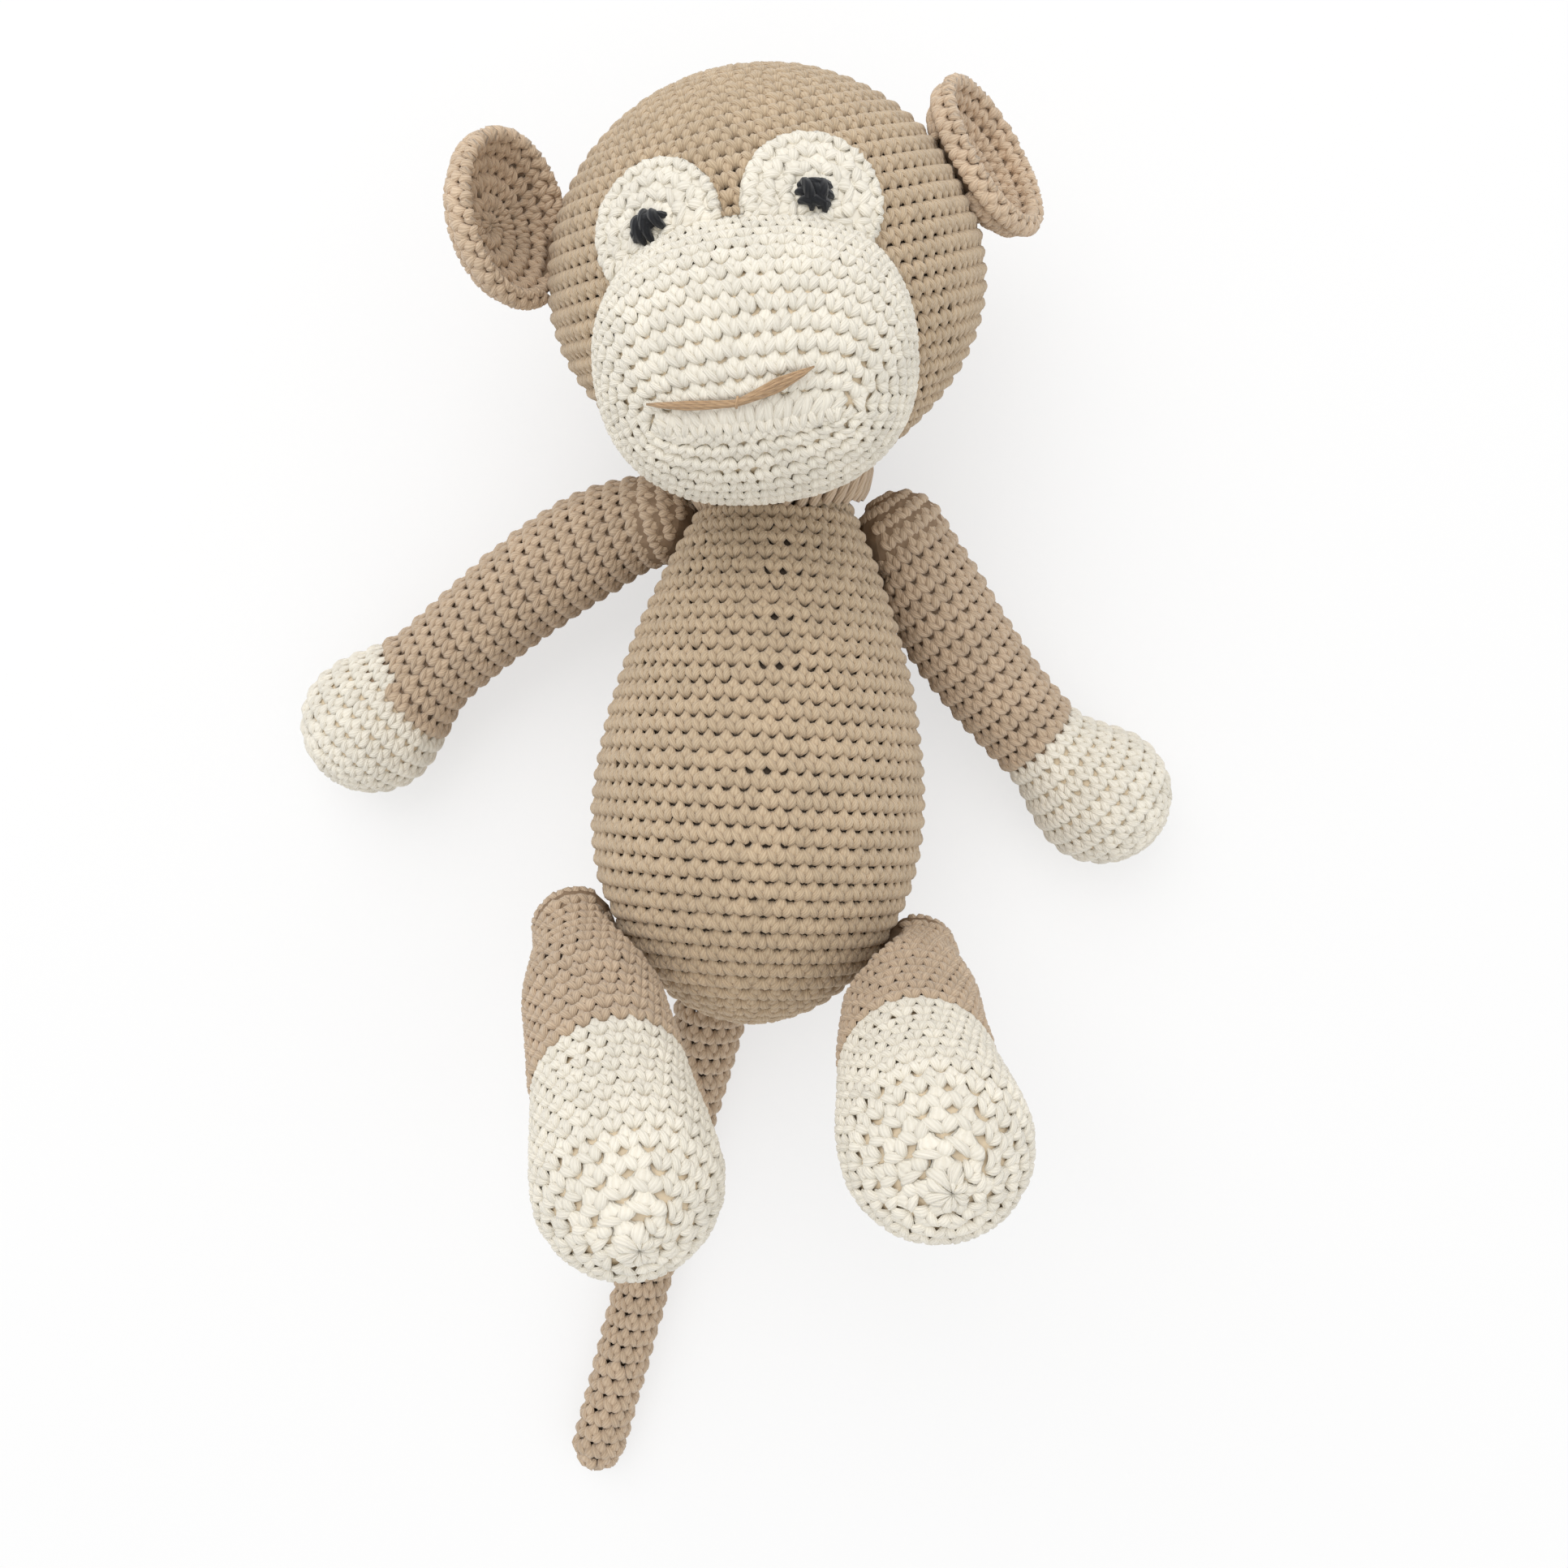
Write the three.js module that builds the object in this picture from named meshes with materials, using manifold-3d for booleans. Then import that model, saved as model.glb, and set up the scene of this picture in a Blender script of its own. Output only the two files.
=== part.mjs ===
// A crocheted monkey toy lying on its back: stuffed covers sewn together with yarn.
//
// Millimetres, +Z up. The origin is on the surface below the widest part of the belly.
// +Y runs along the body to the head and +X to the toy's own left side.

import * as THREE from 'three';
import { mergeVertices } from 'three/addons/utils/BufferGeometryUtils.js';
import Module from 'manifold-3d';

const wasm = await Module();
wasm.setup();

// Fabric, yarn and the clearances: between pieces that touch, and at a seat's flattest facets.
const fabric = 2.6;
const gap = 0.3;
const seatGap = 0.1;
const yarnRadius = 0.9;
const restCut = 0.5;

// Body: a pear, widest at the belly, that tapers to the neck.
const bellyRadius = 40.5;
const bellyToBottom = 51.6;
const bellyToTaperTip = 105;
const taperPower = 1.8;

// Head: a ball, flattened a little at the crown and round the neck. It presses on the floor.
const headRadius = 51.8;
const crownHeight = 49;
const chinDepth = 47;
const neckZone = 36;
const headForward = 125.2;
const headAside = -6.2;
const headPress = 1.2;
const neckOpening = 11;

// Muzzle: a stuffed oval cup that sits low on the face.
const muzzleHalfWidth = 34.3;
const muzzleHalfHeight = 28.6;
const muzzleDepth = 31.5;
const muzzleOffset = 50;
const muzzleDip = 34.2;
const muzzleRoll = 10;
const muzzleSquareness = 2.35;

// Mouth: two straight strands of yarn that meet at a tack, in the muzzle's own plane.
const mouthThread = 1.1;
const mouthPoints = [[-20, 2.8], [-1.7, 2.6], [14, 7.6]];

// Eye patches and the knots sewn at their middles.
const patchRadius = 14.2;
const patchThickness = 2.4;
const rightPatchFacing = [-23, -3.5, 46.3];
const leftPatchFacing = [9.6, 3.1, 50.5];
const eyeRadius = 3.9;
const eyeHeight = 2.6;

// Ears: cupped ovals with a rolled rim.
const earHalfHeight = 20;
const earHalfWidth = 18;
const earDepth = 11;
const earFabric = 3.6;
const earFlex = 22;

// Arms, from the middle of the sewn end to the middle of the hand.
const armRootRadius = 11.5;
const armRadius = 13.1;
const wristRadius = 11.9;
const handRadius = 18;
const rightArmReach = 89.8;
const leftArmReach = 83.6;
const armBowHeight = 26;
const rightArmCuff = 0.84;
const leftArmCuff = 0.72;
const rightShoulderHeight = 66.6;
const leftShoulderHeight = 66.8;
const shoulderDrop = 14;
const shoulderFlankRadius = 45;
const rootPress = 0.8;

// Legs, from the middle of the sewn end to the middle of the foot.
const legRootRadius = 10;
const thighRadius = 15.8;
const ankleRadius = 16.8;
const footRadius = 18.9;
const rightLegReach = 47.2;
const leftLegReach = 26.9;
const kneeHeight = 76;
const rightFootHeight = 118;
const leftFootHeight = 121.7;
const legCuff = 0.62;
const rightHipHeight = -27;
const leftHipHeight = -28.6;
const rightHipRise = 8;
const leftHipRise = -3;
const hipFlankRadius = 66;

// Tail: a slim stuffed tube in two lengths that meet at its bend.
const tailRootRadius = 9.2;
const tailRadius = 7.2;
const tailTipRadius = 6.7;
const tailHeight = -44;
const tailTurn = 250.6;
const tailReach = 121.2;
const tailSlant = 0.17;
const tailCurl = 0.017;
const tailSettles = 8;
const tailBend = 0.46;

const colours = {
  tan: 0xc8b294,
  brown: 0xb29a7e,
  cream: 0xefe9dc,
  dark: 0x22262c,
  mouth: 0xc09c70,
  fill: 0x8f8a82,
};

const group = new THREE.Group();
const bodyAxisHeight = bellyRadius - restCut;
const X = new THREE.Vector3(1, 0, 0);
const Y = new THREE.Vector3(0, 1, 0);

// Sides of each kind of round form, outside and inside its cover.
const bodySides = 24;
const bodyInnerSides = 16;
const limbSides = 14;
const limbInnerSides = 10;
const rootSides = 14;
const tailSides = 12;

function vector(list) {
  return new THREE.Vector3(...list);
}

function radians(degrees) {
  return THREE.MathUtils.degToRad(degrees);
}

// Solids: closed geometry goes in, joined or cut geometry comes out.
function solidOf(geometry) {
  const bare = geometry.clone();
  bare.deleteAttribute('normal');
  bare.deleteAttribute('uv');
  const merged = mergeVertices(bare, 1e-4);
  const mesh = new wasm.Mesh({
    numProp: 3,
    vertProperties: Float32Array.from(merged.attributes.position.array),
    triVerts: Uint32Array.from(merged.index.array),
  });
  mesh.merge();
  return new wasm.Manifold(mesh);
}

function geometryOf(solid) {
  const mesh = solid.getMesh();
  const geometry = new THREE.BufferGeometry();
  geometry.setAttribute('position', new THREE.BufferAttribute(mesh.vertProperties, 3));
  geometry.setIndex(new THREE.BufferAttribute(mesh.triVerts, 1));
  geometry.computeVertexNormals();
  return geometry;
}

function cut(solid, ...cutters) {
  return cutters.reduce((rest, cutter) => rest.subtract(cutter), solid);
}

// The largest connected piece of a solid, without crumbs that a cut left loose.
function largest(solid) {
  const pieces = solid.decompose();
  return pieces.reduce((best, piece) => (piece.volume() > best.volume() ? piece : best));
}

function ball(centre, radius, sides) {
  const geometry = new THREE.SphereGeometry(radius, sides, sides / 2);
  return solidOf(geometry.translate(centre.x, centre.y, centre.z));
}

// A ball whose flat facets all stay outside the radius, to cut a seat that a ball turns in.
function seatBall(centre, radius, sides) {
  return ball(centre, radius / Math.cos(Math.PI / sides) ** 2, sides);
}

// Everything that the toy lies on is one flat surface.
const floorSize = 1000;
const floorBox = new THREE.BoxGeometry(floorSize, floorSize, floorSize);
const belowFloor = solidOf(floorBox.translate(0, 0, -floorSize / 2));

// Frame whose Z points along a direction, rolled about it so that X lies near a given side.
function facing(direction, side) {
  const z = direction.clone().normalize();
  const x = side.clone().addScaledVector(z, -side.dot(z)).normalize();
  const y = z.clone().cross(x);
  return new THREE.Matrix4().makeBasis(x, y, z);
}

function lathe(points, segments) {
  return new THREE.LatheGeometry(points.map(([r, y]) => new THREE.Vector2(r, y)), segments);
}

// Body profile: an ellipse below the belly, a power curve above it.
function bodyRadius(y) {
  if (y < 0) {
    return bellyRadius * Math.sqrt(Math.max(0, 1 - (y / bellyToBottom) ** 2));
  }
  return bellyRadius * (1 - (y / bellyToTaperTip) ** taperPower);
}

function bodySurface(y, turn) {
  const step = 0.01;
  const slope = (bodyRadius(y + step) - bodyRadius(y - step)) / (2 * step);
  const out = new THREE.Vector3(Math.cos(turn), 0, Math.sin(turn));
  const point = out.clone().multiplyScalar(bodyRadius(y));
  point.y = y;
  point.z += bodyAxisHeight;
  const normal = out.clone().addScaledVector(Y, -slope).normalize();
  return { point, normal };
}

function bodyForm(inset) {
  const rows = inset > 0 ? 7 : 9;
  const sides = inset > 0 ? bodyInnerSides : bodySides;
  const top = bellyToTaperTip * 0.9;
  const points = [];
  for (let i = 0; i <= rows; i += 1) {
    const angle = (Math.PI / 2) * (i / rows);
    const y = -(bellyToBottom - inset) * Math.cos(angle);
    points.push([(bellyRadius - inset) * Math.sin(angle), y]);
  }
  for (let i = 1; i <= rows; i += 1) {
    const y = (top * i) / rows;
    points.push([Math.max(bodyRadius(y) - inset, fabric), y]);
  }
  points[0][0] = 0;
  points.push([0, top]);
  return solidOf(lathe(points, sides).translate(0, 0, bodyAxisHeight));
}

// Head: its radius by the angle from the neck, round the line from the neck to its middle.
const headCentre = new THREE.Vector3(headAside, headForward, headRadius - headPress);
const neckPoint = new THREE.Vector3(0, headForward - chinDepth, bodyAxisHeight);
const headAxis = headCentre.clone().sub(neckPoint).normalize();

function headReach(fromNeck) {
  const low = THREE.MathUtils.smoothstep(fromNeck, radians(neckZone), Math.PI / 2);
  const high = THREE.MathUtils.smoothstep(fromNeck, Math.PI / 2, Math.PI);
  return chinDepth + (headRadius - chinDepth) * low - (headRadius - crownHeight) * high;
}

function headForm(grow) {
  const sides = grow < 0 ? bodyInnerSides : bodySides;
  const rows = sides / 2;
  const points = [];
  for (let i = 0; i <= rows; i += 1) {
    const angle = (Math.PI * i) / rows;
    const reach = headReach(angle) + grow;
    const onAxis = i === 0 || i === rows;
    points.push([onAxis ? 0 : reach * Math.sin(angle), -reach * Math.cos(angle)]);
  }
  const turned = new THREE.Quaternion().setFromUnitVectors(Y, headAxis);
  const geometry = lathe(points, sides).applyQuaternion(turned);
  return solidOf(geometry.translate(headCentre.x, headCentre.y, headCentre.z));
}

const headTouch = headForm(gap);
const headSolid = headForm(0);

// Muzzle frame: Z out of the face, X to the toy's left, Y up the face.
const muzzleOut = new THREE.Vector3(0, -Math.sin(radians(muzzleDip)), Math.cos(radians(muzzleDip)));
const muzzleTurn = facing(muzzleOut, X).multiply(
  new THREE.Matrix4().makeRotationZ(radians(muzzleRoll)),
);
const muzzleCentre = headCentre.clone().addScaledVector(muzzleOut, muzzleOffset);
const muzzleFrame = muzzleTurn.clone().setPosition(muzzleCentre);

function squared(value) {
  return Math.sign(value) * Math.abs(value) ** (2 / muzzleSquareness);
}

function muzzleForm(grow) {
  const sides = grow < 0 ? bodyInnerSides : bodySides;
  const geometry = new THREE.SphereGeometry(1, sides, sides / 2);
  const position = geometry.attributes.position;
  const p = new THREE.Vector3();
  for (let i = 0; i < position.count; i += 1) {
    p.fromBufferAttribute(position, i);
    const flat = Math.hypot(p.x, p.z);
    const across = flat > 1e-9 ? squared(p.x / flat) : 0;
    const up = flat > 1e-9 ? squared(p.z / flat) : 0;
    const out = squared(flat);
    p.set(
      (muzzleHalfWidth + grow) * across * out,
      -(muzzleHalfHeight + grow) * up * out,
      (muzzleDepth + grow) * squared(p.y),
    );
    position.setXYZ(i, p.x, p.y, p.z);
  }
  return solidOf(geometry.applyMatrix4(muzzleFrame));
}

// Height of the muzzle's face above its own plane.
function muzzleFace(x, y) {
  const n = muzzleSquareness;
  const level = Math.abs(x / muzzleHalfWidth) ** n + Math.abs(y / muzzleHalfHeight) ** n;
  return muzzleDepth * Math.max(0, 1 - level) ** (1 / n);
}

const muzzleSolid = muzzleForm(0);
const muzzleTouch = muzzleForm(gap);

// Limbs: a lathe bent along a centre line. Profile heights are shares of its length,
// and the parts before 0 and after 1 run on straight as rounded ends, in millimetres.
function bend(geometry, line) {
  const length = line.getLength();
  const start = line.getTangentAt(0);
  const side = facing(start, X);
  const sideX = new THREE.Vector3().setFromMatrixColumn(side, 0);
  const position = geometry.attributes.position;
  const p = new THREE.Vector3();
  for (let i = 0; i < position.count; i += 1) {
    p.fromBufferAttribute(position, i);
    const at = THREE.MathUtils.clamp(p.y / length, 0, 1);
    const tangent = line.getTangentAt(at);
    const beyond = p.y - at * length;
    const frame = facing(tangent, sideX);
    const x = new THREE.Vector3().setFromMatrixColumn(frame, 0);
    const y = new THREE.Vector3().setFromMatrixColumn(frame, 1);
    const place = line.getPointAt(at).addScaledVector(tangent, beyond);
    place.addScaledVector(x, p.x).addScaledVector(y, -p.z);
    position.setXYZ(i, place.x, place.y, place.z);
  }
  return geometry;
}

// Radius at a share of the length, eased between named radii.
function easedRadius(keys, share) {
  for (let i = 1; i < keys.length; i += 1) {
    if (share <= keys[i][0]) {
      const u = THREE.MathUtils.smoothstep(share, keys[i - 1][0], keys[i][0]);
      return THREE.MathUtils.lerp(keys[i - 1][1], keys[i][1], u);
    }
  }
  return keys[keys.length - 1][1];
}

function roundEnd(points, radius, middle, direction, steps) {
  for (let i = 0; i <= steps; i += 1) {
    const angle = (Math.PI / 2) * (i / steps);
    const r = direction > 0 ? Math.cos(angle) : Math.sin(angle);
    const y = direction > 0 ? Math.sin(angle) : -Math.cos(angle);
    const onAxis = (direction > 0 && i === steps) || (direction < 0 && i === 0);
    points.push([onAxis ? 0 : radius * r, middle + radius * y]);
  }
}

// A whole limb, root and tip rounded, made thinner by an inset.
function limbForm(line, keys, inset, sides) {
  const length = line.getLength();
  const stations = inset > 0 ? 6 : 8;
  const points = [];
  const radius = (share) => easedRadius(keys, share) - inset;
  roundEnd(points, radius(0), 0, -1, 3);
  for (let i = 1; i < stations; i += 1) {
    const share = i / stations;
    points.push([radius(share), share * length]);
  }
  roundEnd(points, radius(1), length, 1, 4);
  return solidOf(bend(lathe(points, sides), line));
}

// Everything past a place on a line, as a block with its face square to the line.
const blockSize = 300;

function beyond(line, share, shift) {
  const block = new THREE.BoxGeometry(blockSize, blockSize, blockSize);
  const frame = facing(line.getTangentAt(share), X).setPosition(line.getPointAt(share));
  return solidOf(block.translate(0, 0, blockSize / 2 + shift).applyMatrix4(frame));
}

// Everything before a place on a line.
function behind(line, share, shift = 0) {
  return beyond(line, share, shift - blockSize);
}

// Where a limb is sewn on: its root ball presses a little way into the body.
function seatOn(height, turn, rootRadius) {
  const { point, normal } = bodySurface(height, turn);
  const joint = point.clone().addScaledVector(normal, rootRadius - rootPress);
  return { joint, normal, rootRadius };
}

const hang = Math.PI;
const seats = {
  right_arm: seatOn(rightShoulderHeight, hang + radians(shoulderDrop), armRootRadius),
  left_arm: seatOn(leftShoulderHeight, -radians(shoulderDrop), armRootRadius),
  right_leg: seatOn(rightHipHeight, hang - radians(rightHipRise), legRootRadius),
  left_leg: seatOn(leftHipHeight, radians(leftHipRise), legRootRadius),
  tail: seatOn(tailHeight, radians(tailTurn), tailRootRadius),
};

// A limb runs from its seat through a bow to its end. The bow lies a share of the reach
// along the heading and a share of it aside, at its own height.
function limbLine(seat, reach, heading, bowAlong, bowAside, bowHeight, endHeight) {
  const turn = radians(heading);
  const out = new THREE.Vector3(Math.cos(turn), Math.sin(turn), 0);
  const aside = new THREE.Vector3(-out.y, out.x, 0);
  const bow = seat.joint.clone().addScaledVector(out, bowAlong * reach);
  bow.addScaledVector(aside, bowAside * reach).setZ(bowHeight);
  const end = seat.joint.clone().addScaledVector(out, reach).setZ(endHeight);
  return new THREE.QuadraticBezierCurve3(seat.joint, bow, end);
}

const handHeight = handRadius - restCut;
const tailRest = tailRadius - restCut;
const armKeys = [[0, armRootRadius], [0.22, armRadius], [0.74, wristRadius], [1, handRadius]];
const legKeys = [[0, legRootRadius], [0.36, thighRadius], [0.64, ankleRadius], [1, footRadius]];
const limbs = {
  right_arm: {
    line: limbLine(seats.right_arm, rightArmReach, -142, 0.2, -0.12, armBowHeight, handHeight),
    keys: armKeys,
    tip: 'right_hand',
    cuff: rightArmCuff,
    flank: shoulderFlankRadius,
  },
  left_arm: {
    line: limbLine(seats.left_arm, leftArmReach, -46.9, 0.52, -0.118, armBowHeight, handHeight),
    keys: armKeys,
    tip: 'left_hand',
    cuff: leftArmCuff,
    flank: shoulderFlankRadius,
  },
  right_leg: {
    line: limbLine(seats.right_leg, rightLegReach, -60.7, 0.45, 0.02, kneeHeight, rightFootHeight),
    keys: legKeys,
    tip: 'right_foot',
    cuff: legCuff,
    flank: hipFlankRadius,
  },
  left_leg: {
    line: limbLine(seats.left_leg, leftLegReach, -94, 0.52, -0.19, kneeHeight, leftFootHeight),
    keys: legKeys,
    tip: 'left_foot',
    cuff: legCuff,
    flank: hipFlankRadius,
  },
};

function add(name, solid, colour, roughness = 0.95) {
  const material = new THREE.MeshStandardMaterial({ color: colour, roughness, metalness: 0 });
  const mesh = new THREE.Mesh(geometryOf(solid), material);
  mesh.name = name;
  group.add(mesh);
  return mesh;
}

// Body cover and its stuffing, dented where the limbs press in and open at the neck.
function dentedBody(inset) {
  const dents = Object.values(seats).map(
    (seat) => seatBall(seat.joint, seat.rootRadius + seatGap + inset, rootSides),
  );
  return cut(bodyForm(inset), ...dents);
}

const neckSides = 36;
const neckSeat = seatBall(headCentre, chinDepth + gap, neckSides);
const bodyCover = cut(dentedBody(0), dentedBody(fabric), neckSeat, belowFloor);
add('body_cover', largest(bodyCover), colours.tan);
const fillSeat = seatBall(headCentre, chinDepth + 2 * gap, neckSides);
add('body_stuffing', largest(cut(dentedBody(fabric + gap), fillSeat)), colours.fill);

// The yarn that closes the neck, laid round the head's axis in the crease under the chin.
const neckRingAngle = 24.5;
const neckRingReach = chinDepth + gap + yarnRadius;
const neckRing = new THREE.TorusGeometry(
  neckRingReach * Math.sin(radians(neckRingAngle)), yarnRadius, 6, 30,
);
const neckRingCentre = headCentre.clone().addScaledVector(
  headAxis, -neckRingReach * Math.cos(radians(neckRingAngle)),
);
neckRing.applyMatrix4(facing(headAxis, X).setPosition(neckRingCentre));
add('neck_seam', solidOf(neckRing), colours.tan);

// Head cover, closed at the crown and open over the neck, and its stuffing.
// The hole is turned a little, so that its edges miss the corners of the head's own rows.
const neckHoleTurn = 6;
const neckHole = new THREE.CylinderGeometry(neckOpening, neckOpening, headRadius, 20);
neckHole.rotateY(radians(neckHoleTurn)).translate(0, -headRadius / 2 - chinDepth / 2, 0);
neckHole.applyQuaternion(new THREE.Quaternion().setFromUnitVectors(Y, headAxis));
neckHole.translate(headCentre.x, headCentre.y, headCentre.z);
const headHollow = headForm(-fabric);
add('head_cover', cut(headSolid, headHollow, solidOf(neckHole), belowFloor), colours.tan);
add('head_stuffing', headForm(-fabric - gap), colours.fill);

// Muzzle cup, open where it is sewn on, and its stuffing.
add('muzzle_cover', largest(cut(muzzleSolid, muzzleForm(-fabric), headTouch)), colours.cream);
add('muzzle_stuffing', largest(cut(muzzleForm(-fabric - gap), headTouch)), colours.fill);

// Mouth: a strand that lies on the muzzle, thick at the middle and pointed at both ends.
function mouthForm() {
  const lift = gap + mouthThread * 0.8;
  const places = [];
  for (let leg = 0; leg + 1 < mouthPoints.length; leg += 1) {
    const [from, to] = [mouthPoints[leg], mouthPoints[leg + 1]];
    for (let i = leg === 0 ? 0 : 1; i <= 5; i += 1) {
      const x = THREE.MathUtils.lerp(from[0], to[0], i / 5);
      const y = THREE.MathUtils.lerp(from[1], to[1], i / 5);
      places.push(new THREE.Vector3(x, y, muzzleFace(x, y) + lift).applyMatrix4(muzzleFrame));
    }
  }
  const line = new THREE.CatmullRomCurve3(places);
  const length = line.getLength();
  const points = [];
  const steps = 12;
  for (let i = 0; i <= steps; i += 1) {
    const share = i / steps;
    const onAxis = i === 0 || i === steps;
    points.push([onAxis ? 0 : mouthThread * Math.sin(Math.PI * share) ** 0.4, share * length]);
  }
  return cut(solidOf(bend(lathe(points, 8), line)), muzzleTouch);
}

add('mouth_thread', largest(mouthForm()), colours.mouth, 0.8);

// Eye patches follow the head and tuck up against the muzzle.
function addEye(side, towards) {
  const out = vector(towards).normalize();
  const frame = facing(out, X).setPosition(headCentre);
  const disc = new THREE.CylinderGeometry(patchRadius, patchRadius, headRadius, 24);
  disc.rotateX(Math.PI / 2).translate(0, 0, headRadius);
  const outer = headForm(gap + patchThickness);
  const patch = solidOf(disc.applyMatrix4(frame)).intersect(outer);
  add(`${side}_eye_patch`, largest(cut(patch, headTouch, muzzleTouch)), colours.cream);

  const fromNeck = Math.PI - out.angleTo(headAxis);
  const top = headReach(fromNeck) + patchThickness + 2 * gap;
  const dome = [[0, top], [eyeRadius, top]];
  for (let i = 1; i <= 4; i += 1) {
    const angle = (Math.PI / 2) * (i / 4);
    dome.push([i === 4 ? 0 : eyeRadius * Math.cos(angle), top + eyeHeight * Math.sin(angle)]);
  }
  const knot = lathe(dome, 16).rotateX(Math.PI / 2).applyMatrix4(frame);
  add(`${side}_eye_knot`, cut(solidOf(knot), headForm(patchThickness + 2 * gap)), colours.dark, 0.7);
}

addEye('right', rightPatchFacing);
addEye('left', leftPatchFacing);

// Ears: a cup with a rolled rim, squeezed to an oval, standing on the side of the head.
function earForm() {
  const points = [];
  const steps = 5;
  const outerDepth = earDepth;
  const innerDepth = earDepth - earFabric;
  for (let i = 0; i <= steps; i += 1) {
    const angle = (Math.PI / 2) * (i / steps);
    points.push([i === 0 ? 0 : earHalfHeight * Math.sin(angle), -outerDepth * Math.cos(angle)]);
  }
  const rim = earFabric / 2;
  for (let i = 1; i < 4; i += 1) {
    const angle = (Math.PI * i) / 4;
    points.push([earHalfHeight - rim + rim * Math.cos(angle), rim * Math.sin(angle)]);
  }
  for (let i = steps; i >= 0; i -= 1) {
    const angle = (Math.PI / 2) * (i / steps);
    const r = (earHalfHeight - earFabric) * Math.sin(angle);
    points.push([i === 0 ? 0 : r, -innerDepth * Math.cos(angle)]);
  }
  const geometry = lathe(points, bodyInnerSides).rotateX(Math.PI / 2);
  return geometry.scale(earHalfWidth / earHalfHeight, 1, 1);
}

// Each ear's middle is given from the head's own, in head radii.
const ears = {
  right_ear: {
    middle: [-1.13, 0.14, 0.317],
    opens: [0.84, 0.1, 0.56],
    tall: [-0.22, 0.97, 0.05],
    base: [-50.3, 5.2, 6.7],
  },
  left_ear: {
    middle: [0.972, 0.61, 0.21],
    opens: [0.72, 0.42, 0.58],
    tall: [-0.52, 0.855, 0],
    base: [41.6, 27.7, 6.7],
  },
};

// The line that an ear folds along: it touches the head at the ear's sewn edge.
function earHinge(ear) {
  const out = vector(ear.base).normalize();
  const point = headCentre.clone().addScaledVector(out, headRadius + earFabric / 2);
  const tall = vector(ear.tall);
  const axis = tall.addScaledVector(out, -tall.dot(out)).normalize();
  return { point, axis };
}

function addEar(name) {
  const ear = ears[name];
  const frame = facing(vector(ear.opens), vector(ear.tall));
  frame.multiply(new THREE.Matrix4().makeRotationZ(-Math.PI / 2));
  frame.setPosition(headCentre.clone().addScaledVector(vector(ear.middle), headRadius));
  const { point, axis } = earHinge(ear);
  const cutters = [-1, -0.5, 0, 0.5, 1].map((share) => {
    const turn = new THREE.Matrix4().makeRotationAxis(axis, radians(earFlex * share));
    const back = new THREE.Matrix4().makeTranslation(point.x, point.y, point.z).multiply(turn);
    back.multiply(new THREE.Matrix4().makeTranslation(-point.x, -point.y, -point.z));
    return headTouch.transform(back.elements);
  });
  add(name, largest(cut(solidOf(earForm().applyMatrix4(frame)), ...cutters)), colours.brown);
}

addEar('right_ear');
addEar('left_ear');

// A limb: its gathered root, its sleeve, the cream end of the sleeve and the stuffing.
function addLimb(name) {
  const limb = limbs[name];
  const seat = seats[name];
  const { line } = limb;
  const root = ball(seat.joint, seat.rootRadius, rootSides);
  const clearance = [seatBall(seat.joint, seat.rootRadius + seatGap, rootSides), belowFloor];
  const reach = limb.flank + seat.rootRadius - rootPress - gap;
  const flankMiddle = seat.joint.clone().addScaledVector(seat.normal, -reach);
  clearance.push(seatBall(flankMiddle, limb.flank, bodySides));
  const behindRoot = behind(line, 0);
  const whole = cut(limbForm(line, limb.keys, 0, limbSides), behindRoot, ...clearance);
  const hollow = cut(limbForm(line, limb.keys, fabric, limbInnerSides), behindRoot);
  const cover = cut(whole, hollow);
  const core = limbForm(line, limb.keys, fabric + gap, limbInnerSides);
  const fill = cut(core, behindRoot, ...clearance);

  add(`${name}_root`, root, colours.brown);
  add(`${name}_cover`, largest(cut(cover, beyond(line, limb.cuff, -gap / 2))), colours.brown);
  const tip = cut(cover, behind(line, limb.cuff, gap / 2));
  add(`${limb.tip}_cover`, largest(tip), colours.cream);
  add(`${name}_stuffing`, largest(fill), colours.fill);
}

Object.keys(limbs).forEach(addLimb);

// Tail: the base swings at the body and the end lifts at the bend.
const tailStart = seats.tail.joint;
const tailPlaces = [0, 0.25, 0.5, 0.75, 1].map((share) => new THREE.Vector3(
  tailStart.x - tailReach * share * (tailSlant + tailCurl * share),
  tailStart.y - tailReach * share,
  tailRest + (tailStart.z - tailRest) * (1 - share) ** tailSettles,
));
const tailLine = new THREE.CatmullRomCurve3(tailPlaces);
const tailKeys = [[0, tailRootRadius], [tailBend, tailRadius], [1, tailTipRadius]];
const tailWhole = cut(limbForm(tailLine, tailKeys, 0, tailSides), belowFloor);
const tailJoint = tailLine.getPointAt(tailBend);
const tailBall = ball(tailJoint, tailRadius, tailSides);
const tailSocket = seatBall(tailJoint, tailRadius + seatGap, tailSides);
const tailEnd = cut(tailWhole, behind(tailLine, tailBend)).add(cut(tailBall, belowFloor));
const tailBase = cut(tailWhole, beyond(tailLine, tailBend, 0), tailSocket);
add('tail_base', largest(tailBase), colours.brown);
add('tail_end', largest(tailEnd), colours.brown);

export default group;
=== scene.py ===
"""A crocheted monkey toy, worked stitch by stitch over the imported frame, and photographed from above."""

import math

import bpy
import numpy as np
from mathutils import Matrix, Vector


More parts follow.
